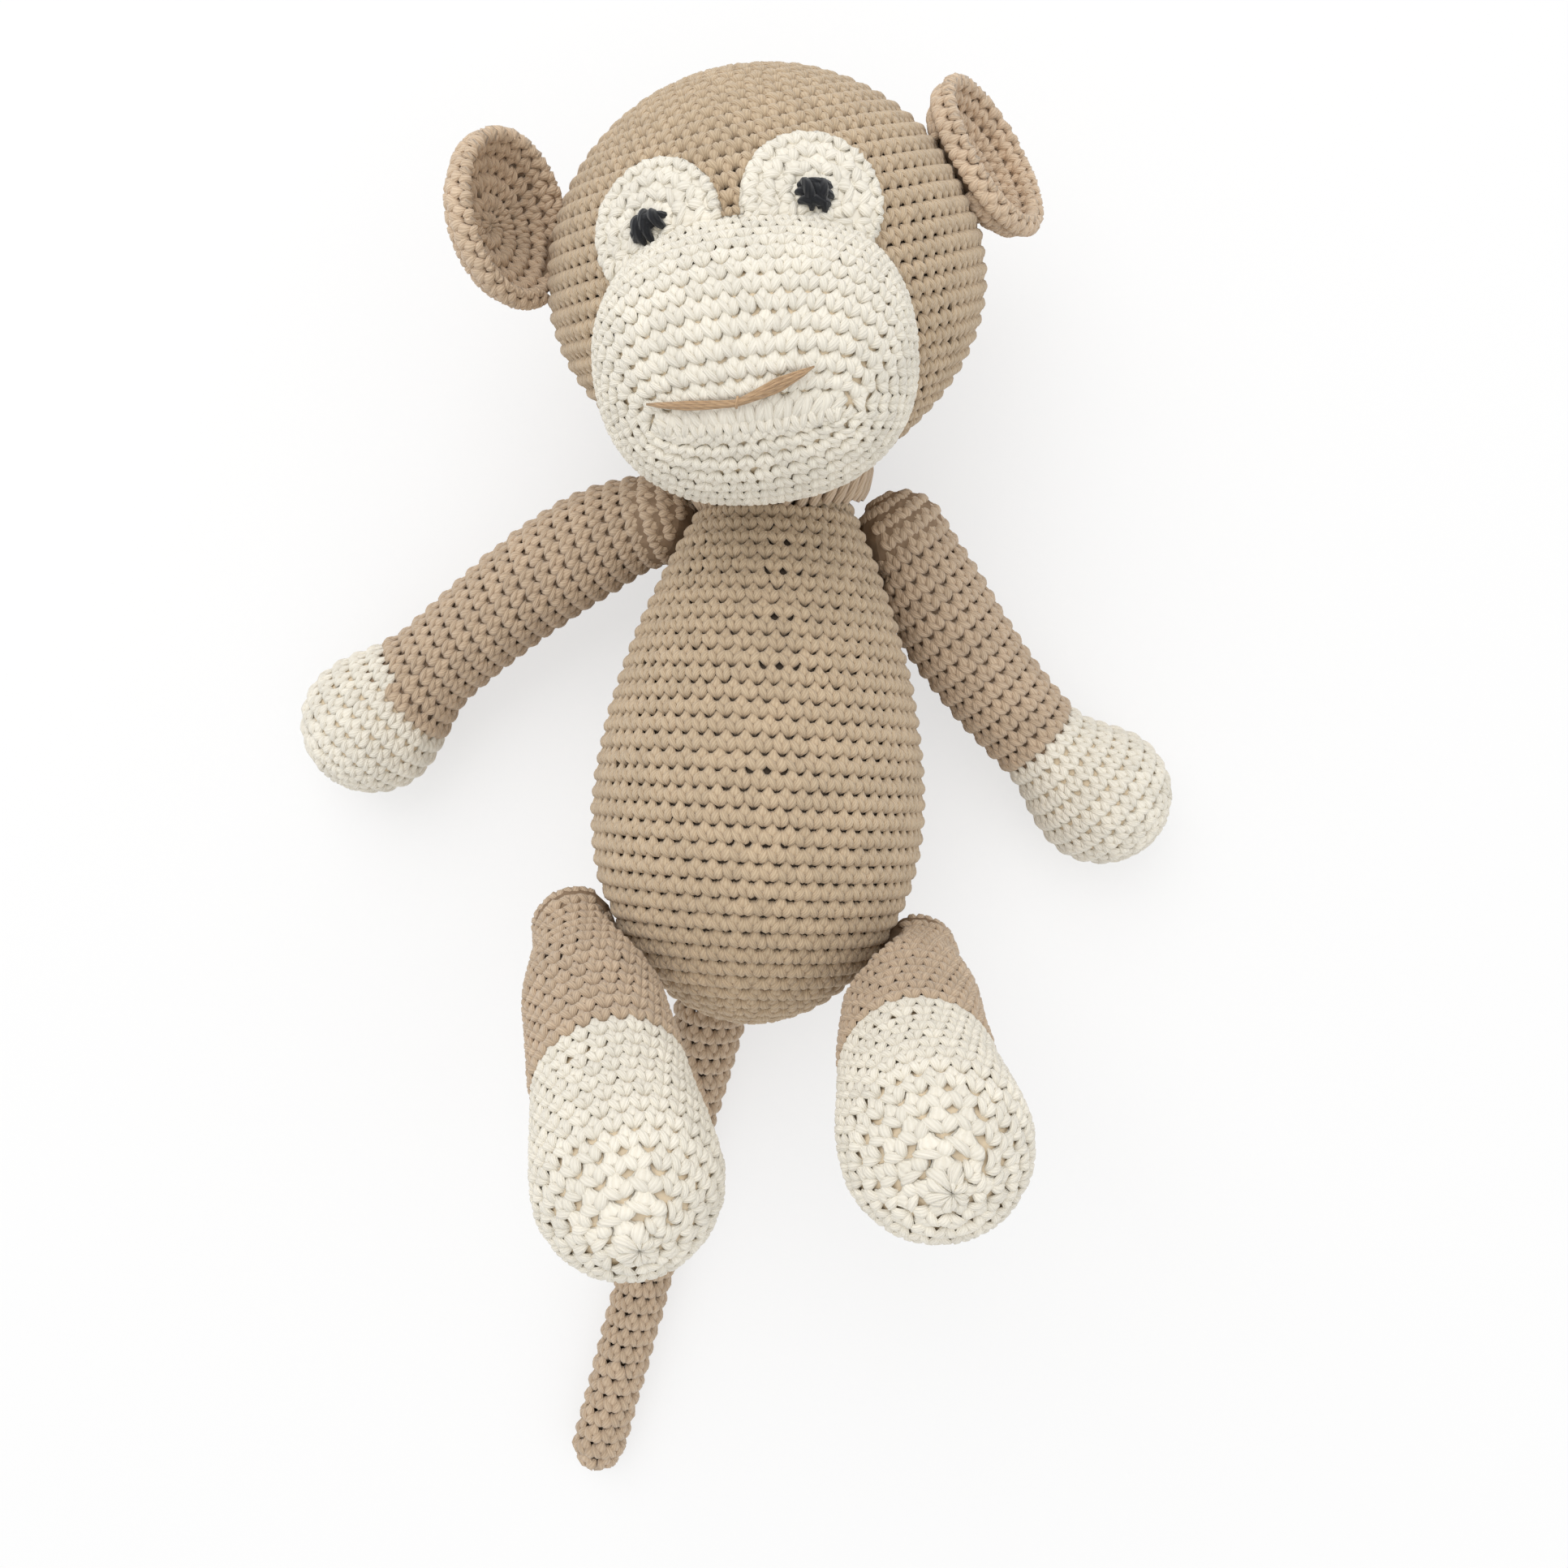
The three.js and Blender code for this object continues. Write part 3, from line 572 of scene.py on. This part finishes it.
def bumped(tree, height, distance):
    made = tree.nodes.new("ShaderNodeBump")
    join(tree, made, {"Strength": 0.6, "Distance": distance, "Height": height})
    return made.outputs["Normal"]


def surface(name, roughness, specular):
    """A new material, its node tree and its shader."""
    m = bpy.data.materials.new(name)
    m.use_nodes = True
    bsdf = m.node_tree.nodes["Principled BSDF"]
    join(m.node_tree, bsdf, {"Roughness": roughness, "Specular IOR Level": specular})
    return m, m.node_tree, bsdf


def scaled(light, share):
    return tuple(min(1, c * share) for c in light) + (1,)


def yarn_material(name, rgb, groove_shade, plies=12.0, twist=0.30):
    """Twisted plies, with painted shade in their grooves, uneven and fibrous, and a tone that differs from stitch to
    stitch.
    """
    m, tree, bsdf = surface(name, 0.92, 0.22)
    join(tree, bsdf, {"Sheen Weight": 0.25, "Sheen Roughness": 0.6})
    uv = tree.nodes.new("ShaderNodeUVMap")
    uv.uv_map = "Yarn"
    split = tree.nodes.new("ShaderNodeSeparateXYZ")
    tree.links.new(uv.outputs["UV"], split.inputs[0])
    along = maths(tree, "MULTIPLY", split.outputs["X"], twist)
    turns = maths(tree, "ADD", along, maths(tree, "MULTIPLY", split.outputs["Y"], plies))
    wave = maths(tree, "COSINE", maths(tree, "MULTIPLY", turns, 2 * math.pi))
    stretch = tree.nodes.new("ShaderNodeMapping")
    join(tree, stretch, {"Scale": (0.5, 9.0, 1.0), "Vector": uv.outputs["UV"]})
    streak = noise(tree, stretch.outputs["Vector"], 1.0, 2)
    ply = between(tree, maths(tree, "MULTIPLY_ADD", streak, 4.0, wave), 0.8, 3.0)
    place = tree.nodes.new("ShaderNodeTexCoord").outputs["Object"]
    tone = tree.nodes.new("ShaderNodeAttribute")
    tone.attribute_name = "tone"
    shade = maths(tree, "ADD", tone.outputs["Fac"], noise(tree, place, 60, 2))
    light = linear(rgb)
    colour = mixed(tree, between(tree, shade, 0.2, 1.8), scaled(light, 0.90), scaled(light, 1.08))
    # Painted shade: the grooves between the plies are darker, besides their bump.
    groove = mixed(tree, ply, tuple(groove_shade) + (1,), (1, 1, 1, 1))
    height = maths(tree, "MULTIPLY_ADD", noise(tree, place, 1400, 3), 0.35, ply)
    join(tree, bsdf, {
        "Base Color": mixed(tree, 1.0, colour, groove, "MULTIPLY"),
        "Normal": bumped(tree, height, 0.00018),
    })
    return m


def stuffing_material(name, rgb):
    """Wads of filling, lighter and darker."""
    m, tree, bsdf = surface(name, 1.0, 0.05)
    wad = noise(tree, tree.nodes.new("ShaderNodeTexCoord").outputs["Object"], 500, 5)
    light = linear(rgb)
    join(tree, bsdf, {
        "Base Color": mixed(tree, wad, scaled(light, 0.7), scaled(light, 1.15)),
        "Normal": bumped(tree, wad, 0.0004),
    })
    return m


# The second colour of each yarn darkens the grooves between its plies, as painted shade.
TAN = yarn_material("tan_yarn", (208, 187, 158), (0.84, 0.80, 0.76))
BROWN = yarn_material("brown_yarn", (208, 186, 160), (0.82, 0.78, 0.74))
EAR = yarn_material("ear_yarn", (222, 199, 172), (0.82, 0.78, 0.74))
CREAM = yarn_material("cream_yarn", (244, 238, 224), (0.94, 0.93, 0.91))
# The stuffing behind the tan stitches is painted dark brown: painted shade in the holes between the stitches.
TAN_SHADED_FILL = stuffing_material("tan_shaded_fill", (96, 85, 74))
# The stuffing behind the brown stitches, the ear cores and the roots are a brown darker than the yarn: partly the
# stuffing, partly a mild painted shade in the gaps.
BROWN_SHADED_FILL = stuffing_material("brown_shaded_fill", (150, 128, 106))
CREAM_FILL = stuffing_material("cream_fill", (228, 210, 182))
EYE = yarn_material("eye_thread", (19, 21, 27), (0.55, 0.55, 0.55), plies=6.0, twist=0.5)
MOUTH = yarn_material("mouth_thread_yarn", (196, 164, 128), (0.78, 0.74, 0.7), plies=4.0, twist=0.4)


# ---- The pieces. A lining takes every fourth row and column of a grid and stays this many mm clear of the floor;
# the third number is a share of filling.
COARSE, CORE_LIFT, FILL = 4, 0.3, 0.8


def added(name, data):
    ob = bpy.data.objects.new(name, data)
    bpy.context.scene.collection.objects.link(ob)
    return ob


def piece(mesh, material, body):
    """An object with the name of its mesh. It rides on a body if one is given."""
    ob = added(mesh.name, mesh)
    ob.data.materials.append(material)
    if body:
        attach(ob, body)
    return ob


def grid_mesh(name, p, n, sink):
    """A closed smooth form a little below the rows' own surface."""
    q = p - n * np.broadcast_to(sink, (len(p),))[:, None, None]
    q[..., 2] = np.maximum(q[..., 2], CORE_LIFT)
    q = q[::COARSE, ::COARSE]
    rows, columns = q.shape[:2]
    verts = np.concatenate([q.reshape(-1, 3), [q[0].mean(axis=0), q[-1].mean(axis=0)]]) * MM
    faces = []
    for i in range(rows - 1):
        for j in range(columns):
            k = (j + 1) % columns
            faces.append((i * columns + j, i * columns + k, (i + 1) * columns + k, (i + 1) * columns + j))
    end = rows * columns
    for j in range(columns):
        k = (j + 1) % columns
        faces.append((end, k, j))
        faces.append((end + 1, (rows - 1) * columns + j, (rows - 1) * columns + k))
    mesh = bpy.data.meshes.new(name)
    mesh.from_pydata([tuple(v) for v in verts], [], faces)
    mesh.polygons.foreach_set("use_smooth", np.ones(len(faces), bool))
    mesh.update()
    return mesh


def lining(name, grid, n, material, body, node, sink=SUNK, tip=None, tip_share=0.0):
    """The stuffing behind the stitches, with a colour of its own behind the first rows of a two-coloured cover."""
    if tip is not None:
        sink = np.where(np.arange(len(grid)) < len(grid) * tip_share, CREAM_SUNK, sink)
    ob = piece(grid_mesh(name, grid, n, sink), material, body)
    if tip is not None:
        ob.data.materials.append(tip)
        rows, columns = grid[::COARSE, ::COARSE].shape[:2]
        for i, face in enumerate(ob.data.polygons):
            if i < columns * (rows - 1) * tip_share:
                face.material_index = 1
    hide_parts(node)


def middles(grid, stitches, count, up=0.5):
    """The place of each stitch, a share of the way up it."""
    return sample(grid, (stitches[:, 0] + up) / count, stitches[:, 2])


HEAD_GAUGE, MUZZLE_GAUGE, EAR_GAUGE, PATCH_GAUGE = (3.55, 3.75), (3.45, 3.45), (3.5, 3.7), (3.0, 3.2)
ARM_GAUGE, LEG_GAUGE, TAIL_GAUGE = (3.45, 4.4), (3.65, 4.4), (3.5, 4.4)

# The body's and the head's yarn are each in three pieces, because one mesh of all their stitches is too large.
grid, n = turned(body_grid())
stitches, count = rounds(grid)
middle = middles(grid, stitches, count, 0.7)
keep = np.linalg.norm(middle - HEAD_AT, axis=1) > CHIN - 1.5
for label, part, seed in zip(("lower", "middle", "upper"), np.array_split(stitches[keep], 3), (11, 12, 13)):
    mesh = yarn_mesh(f"body_yarn_{label}", grid, n, part, count, seed, flat=0.9)
    ob = piece(mesh, TAN, "body")
    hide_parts("body_cover")
lining("body_fill", grid, n, TAN_SHADED_FILL, "body", "body_stuffing")

grid, n = turned(head_grid())
stitches, count = rounds(grid, *HEAD_GAUGE)
middle = middles(grid, stitches, count)
out = (middle - HEAD_AT) / np.linalg.norm(middle - HEAD_AT, axis=1)[:, None]
from_neck = np.arccos(np.clip(-out @ HEAD_AXIS, -1, 1))
keep = (muzzle_level(middle, -4.0) > 1) & (from_neck > math.radians(8))
for label, part, seed in zip(("crown", "middle", "lower"), np.array_split(stitches[keep], 3), (21, 22, 23)):
    mesh = yarn_mesh(f"head_yarn_{label}", grid, n, part, count, seed, *HEAD_GAUGE, flat=0.9)
    ob = piece(mesh, TAN, "head")
    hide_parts("head_cover")
lining("head_fill", grid, n, TAN_SHADED_FILL, "head", "head_stuffing")

grid, n = turned(muzzle_grid())
stitches, count = rounds(grid, *MUZZLE_GAUGE)
mesh = yarn_mesh("muzzle_yarn", grid, n, stitches, count, 31, *MUZZLE_GAUGE, flat=0.75)
ob = piece(mesh, CREAM, "head")
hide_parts("muzzle_cover")
lining("muzzle_fill", grid, n, CREAM_FILL, "head", "muzzle_stuffing", sink=CREAM_SUNK)

# Radii at shares of a limb's length from its root, and of the ball that stands for the body's flank beside the root.
ARM = ([[0, ARM_ROOT], [0.22, 13.1], [0.74, 11.9], [1, 18.0]], 45, ARM_GAUGE)
LEGS = ([[0, LEG_ROOT], [0.36, 15.8], [0.64, 16.8], [1, 18.9]], 66, LEG_GAUGE)
# A limb's line (reach, heading, its bow along and aside in shares of the reach, heights of bow and end), its tip,
# where along it the yarn changes, and its kind.
LIMBS = {
    "right_arm": ((89.8, math.radians(-142), 0.2, -0.12, 26, 17.5), "right_hand", 0.84, ARM),
    "left_arm": ((83.6, math.radians(-46.9), 0.52, -0.118, 26, 17.5), "left_hand", 0.72, ARM),
    "right_leg": ((47.2, math.radians(-60.7), 0.45, 0.02, 76, 118), "right_foot", 0.62, LEGS),
    "left_leg": ((26.9, math.radians(-94), 0.52, -0.19, 76, 121.7), "left_foot", 0.62, LEGS),
}
for index, (name, (shape, tip, cuff, (keys, flank, gauge))) in enumerate(LIMBS.items()):
    joint, normal, root = SEATS[name]
    line = limb_line(joint, *shape)
    grid, n = turned(limb_grid(line, keys, (joint, normal, root, flank)))
    stitches, count = rounds(grid, *gauge)
    at, middle = stitches[:, 0], middles(grid, stitches, count)
    cuff_step = int(cuff * (LINE_STEPS - 1))
    past = (middle - line[cuff_step]) @ unit(line[cuff_step + 2] - line[cuff_step])
    cuff_row = float(np.median(at[np.abs(past) < 2.5]))
    away = middle - joint
    outside = (away @ normal > -root * 0.75) | (np.linalg.norm(away, axis=1) > root + 2)
    sleeve = (at >= cuff_row) & outside & (at < count - 1)
    for label, mask, material, flat, slot_name, node in (
        (f"{tip}_yarn", at < cuff_row, CREAM, 0.8, "cream_yarn", f"{tip}_cover"),
        (f"{name}_yarn", sleeve, BROWN, 0.9, "brown_yarn", f"{name}_cover"),
    ):
        mesh = yarn_mesh(label, grid, n, stitches[mask], count, 40 + index, *gauge, flat=flat)
        ob = piece(mesh, material, name)
        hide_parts(node)
    lining(f"{name}_fill", grid, n, BROWN_SHADED_FILL, name, f"{name}_stuffing",
           tip=CREAM_FILL, tip_share=cuff_row / count)

# An ear's middle from the head's in head radii, the way it opens, the way it is tall, and its seam in mm.
EARS = {
    "right_ear": ([-1.13, 0.14, 0.317], [0.84, 0.1, 0.56], [-0.22, 0.97, 0.05], [-59.1, 130.7, 57.6]),
    "left_ear": ([0.972, 0.61, 0.21], [0.72, 0.42, 0.58], [-0.52, 0.855, 0], [38.0, 154.6, 57.7]),
}
for index, (name, (middle_at, opens, tall, seam)) in enumerate(EARS.items()):
    ear_at = HEAD_AT + np.array(middle_at) * HEAD
    grid, n = turned(ear_grid(ear_at, opens, tall))
    stitches, count = rounds(grid, *EAR_GAUGE)
    stitches = stitches[np.linalg.norm(middles(grid, stitches, count) - HEAD_AT, axis=1) > HEAD + 0.5]
    mesh = yarn_mesh(f"{name}_yarn", grid, n, stitches, count, 60 + index, *EAR_GAUGE)
    cover = piece(mesh, EAR, None)
    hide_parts(name)
    # The ear's core takes the brown stuffing colour, with its painted shade.
    core = piece(grid_mesh(f"{name}_core", grid, n, 0.5), BROWN_SHADED_FILL, None)
    away = unit(ear_at - seam)
    for ob in (cover, core):
        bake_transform(ob)

# The tail drops from its root to the floor and runs on along it.
TAIL_LONG, TAIL_HIGH = 121.2, 6.7
TAIL_JOINT = SEATS["tail"][0]
share = np.linspace(0, 1, 5)
tail_line = np.stack([
    TAIL_JOINT[0] - TAIL_LONG * share * (0.17 + 0.017 * share),
    TAIL_JOINT[1] - TAIL_LONG * share,
    TAIL_HIGH + (TAIL_JOINT[2] - TAIL_HIGH) * (1 - share) ** 8,
], 1)
dense = []
for i in range(len(tail_line) - 1):
    p0, p1 = tail_line[max(i - 1, 0)], tail_line[i]
    p2, p3 = tail_line[i + 1], tail_line[min(i + 2, len(tail_line) - 1)]
    for t in np.linspace(0, 1, 40, endpoint=i == len(tail_line) - 2):
        square = 2 * p1 + (p2 - p0) * t + (2 * p0 - 5 * p1 + 4 * p2 - p3) * t ** 2
        dense.append(0.5 * (square + (3 * p1 - p0 - 3 * p2 + p3) * t ** 3))
grid, n = turned(limb_grid(dense, [[0, TAIL_ROOT], [0.46, 7.2], [1, 6.7]]))
stitches, count = rounds(grid, *TAIL_GAUGE)
mesh = yarn_mesh("tail_yarn", grid, n, stitches, count, 71, *TAIL_GAUGE)
tail = piece(mesh, BROWN, None)
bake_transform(tail)
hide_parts("tail_base", "tail_end")

# The way from the head's middle to each eye.
EYES = {"right": [-23, -3.5, 46.3], "left": [9.6, 3.1, 50.5]}
for side, towards in EYES.items():
    name = f"{side}_eye_patch"
    grid, n = turned(patch_grid(towards))
    stitches, count = rounds(grid, *PATCH_GAUGE)
    keep = muzzle_level(middles(grid, stitches, count), -1.0) > 1
    mesh = yarn_mesh(f"{name}_yarn", grid, n, stitches[keep], count, 81, *PATCH_GAUGE, flat=0.6)
    ob = piece(mesh, CREAM, "head")
    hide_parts(name)
    piece(grid_mesh(f"{name}_core", grid, n, 0.1), CREAM, "head")


def cords(name, paths, radii, material, body, node):
    """Strands laid along paths of points in millimetres, each with its radius along the way."""
    verts, faces, uvs, tones, base = [], [], [], [], 0
    for index, (path, radius) in enumerate(zip(paths, radii)):
        tangent = np.gradient(path, axis=0)
        tangent /= np.linalg.norm(tangent, axis=1)[:, None]
        x = np.cross(tangent, unit([0.21, 0.33, 0.92]))
        x /= np.linalg.norm(x, axis=1)[:, None]
        y = np.cross(x, tangent)
        turn = 2 * np.pi * np.arange(SIDES) / SIDES
        ring = np.cos(turn)[None, :, None] * x[:, None] + np.sin(turn)[None, :, None] * y[:, None]
        verts.append((path[:, None] + ring * radius[:, None, None]).reshape(-1, 3))
        faces.append(tube_faces(len(path)) + base)
        along = np.concatenate([[0], np.cumsum(np.linalg.norm(np.diff(path, axis=0), axis=1))])
        uvs.append(tube_uv(along, np.array([index * 1.7])).reshape(-1, 2))
        tones.append(np.full(len(path) * SIDES, (index * 0.37) % 1))
        base += len(path) * SIDES
    mesh = fill_mesh(name, *(np.concatenate(v) for v in (verts, faces, uvs, tones)))
    ob = piece(mesh, material, body)
    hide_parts(node)


def arch(s):
    """From 0 at the ends of a stitch to 1 at its middle, steep at the ends."""
    return np.sin(np.pi * s) ** 0.5


# Each eye is a few fat stitches over one another, with their ends sunk in the patch: from x, y to x, y in mm.
EYE_STITCHES = {
    "right": [(-3.6, -2.2, 1.6, 2.6), (-2.9, -3.2, 2.6, 1.2), (-3.3, -0.4, 3.9, 1.9),
              (-1.2, 3.0, 1.0, -3.2), (0.8, 2.6, 3.7, -0.6), (-2.6, 1.6, -0.8, -3.6)],
    "left": [(-3.4, 1.6, 3.3, 2.2), (-3.8, 0.0, 3.8, 0.3), (-3.0, -1.8, 3.2, -1.6),
             (-1.6, 2.8, 2.6, -3.0), (1.4, 3.1, 1.2, -2.4), (-2.7, 2.6, -0.4, -2.9)],
}
s = np.linspace(0, 1, 12)
for side, sewn in EYE_STITCHES.items():
    x, y, out = facing(EYES[side], [1, 0, 0])
    top = float(head_reach(out)) + PATCH_THICK + 0.9
    paths, radii = [], []
    for i, (x0, y0, x1, y1) in enumerate(sewn):
        lift = top - 1.2 + (1.5 + 0.16 * i) * arch(s)
        flat_at = HEAD_AT + (x0 + (x1 - x0) * s)[:, None] * x + (y0 + (y1 - y0) * s)[:, None] * y
        paths.append(flat_at + lift[:, None] * out)
        radii.append(0.62 + 0.65 * np.sin(np.pi * s) ** 0.6)
    cords(f"{side}_eye_yarn", paths, radii, EYE, "head", f"{side}_eye_knot")


def muzzle_face(u, v):
    """How far out the muzzle's cover lies at a place across and up it."""
    n = MUZZLE_SQUARE
    level = np.abs(u / MUZZLE_WIDE) ** n + np.abs(v / MUZZLE_TALL) ** n
    return MUZZLE_DEEP * np.clip(1 - level, 0, 1) ** (1 / n)


# The mouth is a skein of fine strands, held down at a tack, that spreads to each side and ends in a point.
TACK_U, TACK_V, TACK_AT = -1.7, 2.6, 0.53
rng = np.random.default_rng(91)
paths, radii = [], []
s = np.linspace(0, 1, 30)
for strand_at in np.linspace(-1, 1, 8):
    u = np.interp(s, [0, TACK_AT, 1], [-20, TACK_U, 14])
    v = np.interp(s, [0, TACK_AT, 1], [2.8, TACK_V, 7.6])
    spread = np.interp(s, [0, 0.25, TACK_AT, 0.78, 1], [0.15, 0.75, 0.42, 1.25, 0.1])
    v = v + spread * (strand_at + rng.normal(0, 0.06) * np.sin(9 * s + 7 * strand_at))
    high = muzzle_face(u, v) + PROUD - INSET + 0.28 + 0.35 * (1 - strand_at ** 2)
    paths.append(muzzle_point(u, v, high + 0.12 * np.sin(5 * s + 9 * strand_at)))
    radii.append(0.30 * np.clip(np.minimum(s, 1 - s) * 14, 0.25, 1))
s = np.linspace(0, 1, 10)
u, v = TACK_U + 0.5 * (s - 0.5), TACK_V + 2.0 * (s - 0.5)
paths.append(muzzle_point(u, v, muzzle_face(u, v) + PROUD - INSET - 0.4 + 1.35 * arch(s)))
radii.append(np.full(10, 0.32))
cords("mouth_yarn", paths, radii, MOUTH, "head", "mouth_thread")

# The muzzle starts from a chain, whose own row of stitches closes the middle.
paths, radii = [], []
for u0 in np.arange(-17.0, 17.0, 3.35):
    for side in (-1, 1):
        u, v = u0 + side * (0.25 + 1.0 * s), -4.9 + 3.7 * s
        paths.append(muzzle_point(u, v, muzzle_face(u, v) - 1.5 + 1.1 * arch(s)))
        radii.append(0.55 + 0.45 * arch(s))
cords("muzzle_chain_yarn", paths, radii, CREAM, "head", "muzzle_cover")

# The head is whipped to the body with slanted stitches round the neck.
WHIPS, SLANT = 38, 0.16
x, y, up = facing(HEAD_AXIS, [1, 0, 0])
paths, radii = [], []
s = np.linspace(0, 1, 12)
rng = np.random.default_rng(95)
for turn in np.arange(WHIPS) * 2 * np.pi / WHIPS:
    along = np.interp(s, [0, 1], [-50.5, -41.0]) + rng.normal(0, 0.2)
    out = np.interp(s, [0, 0.25, 0.5, 0.75, 1], [19.6, 20.9, 21.5, 22.1, 22.0]) + rng.normal(0, 0.12)
    round_it = turn + SLANT * s + rng.normal(0, 0.012)
    across = np.cos(round_it)[:, None] * x + np.sin(round_it)[:, None] * y
    paths.append(HEAD_AT + along[:, None] * up + out[:, None] * across)
    radii.append(1.00 + 0.30 * arch(s))
cords("neck_yarn", paths, radii, BROWN, "neck", "neck_seam")

# The roots keep their own shape under the covers, in the brown stuffing's colour with its painted shade.
for node in ("right_arm_root", "left_arm_root", "right_leg_root", "left_leg_root"):
    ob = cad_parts[node]
    ob.data.materials.clear()
    ob.data.materials.append(BROWN_SHADED_FILL)

# ---- Camera, floor and light.
SENSOR, FOCAL_PIXELS, PHOTO_PIXELS = 36, 1900, 1932
camera = bpy.data.cameras.new("camera")
camera.sensor_width = SENSOR
camera.lens = SENSOR * FOCAL_PIXELS / PHOTO_PIXELS
camera.clip_start = 0.01
eye = added("camera", camera)
LEAN = math.radians(3.93)
up = Vector((-math.sin(LEAN), math.cos(LEAN), 0))
back = Vector((0, 0, 1))
right = up.cross(back)
eye.matrix_world = Matrix((right, up, back)).transposed().to_4x4()
eye.location = (0.00590, 0.00742, 0.420)
bpy.context.scene.camera = eye


def seen_part(tree, share, base):
    """A base value, and a share more where the camera, a reflection or light passed through meets the backdrop."""
    paths = tree.nodes.new("ShaderNodeLightPath")
    seen = paths.outputs["Is Camera Ray"]
    for other in ("Is Glossy Ray", "Is Transmission Ray"):
        seen = maths(tree, "MAXIMUM", seen, paths.outputs[other])
    return maths(tree, "MULTIPLY_ADD", seen, share, base)


# The paper keeps the toy's shadow near the toy and is plain white further off.
floor_mesh = bpy.data.meshes.new("floor")
floor_mesh.from_pydata([(-3, -3, 0), (3, -3, 0), (3, 3, 0), (-3, 3, 0)], [], [(0, 1, 2, 3)])
floor = added("floor", floor_mesh)
paper = bpy.data.materials.new("paper")
paper.use_nodes = True
tree = paper.node_tree
matt = tree.nodes["Principled BSDF"]
join(tree, matt, {"Base Color": (0.93, 0.93, 0.93, 1), "Roughness": 0.9})
far = tree.nodes.new("ShaderNodeVectorMath")
far.operation = "LENGTH"
tree.links.new(tree.nodes.new("ShaderNodeTexCoord").outputs["Object"], far.inputs[0])
white = tree.nodes.new("ShaderNodeEmission")
join(tree, white, {"Color": (1, 1, 1, 1), "Strength": 1.0})
whiter = between(tree, far.outputs["Value"], 0.1, 0.7, 0.62, 1.0)
backdrop = tree.nodes.new("ShaderNodeMixShader")
join(tree, backdrop, {0: seen_part(tree, whiter, 0.0), 1: matt.outputs[0], 2: white.outputs[0]})
tree.links.new(backdrop.outputs[0], tree.nodes["Material Output"].inputs["Surface"])
floor.data.materials.append(paper)

world = bpy.data.worlds.new("world")
bpy.context.scene.world = world
world.use_nodes = True
tree = world.node_tree
join(tree, tree.nodes["Background"], {"Color": (1, 1, 1, 1), "Strength": seen_part(tree, 0.25, 0.75)})


def lamp(name, energy, size, place, target):
    data = bpy.data.lights.new(name, "AREA")
    data.energy = energy
    data.size = size
    ob = added(name, data)
    ob.location = place
    ob.rotation_euler = (Vector(target) - Vector(place)).to_track_quat("-Z", "Y").to_euler()


lamp("key", 5.5, 1.0, (-0.35, 0.55, 1.0), (0, 0.03, 0.03))
lamp("fill", 1.5, 1.2, (0.7, -0.3, 0.9), (0, 0, 0.03))

scene = bpy.context.scene
scene.view_settings.view_transform = "Standard"
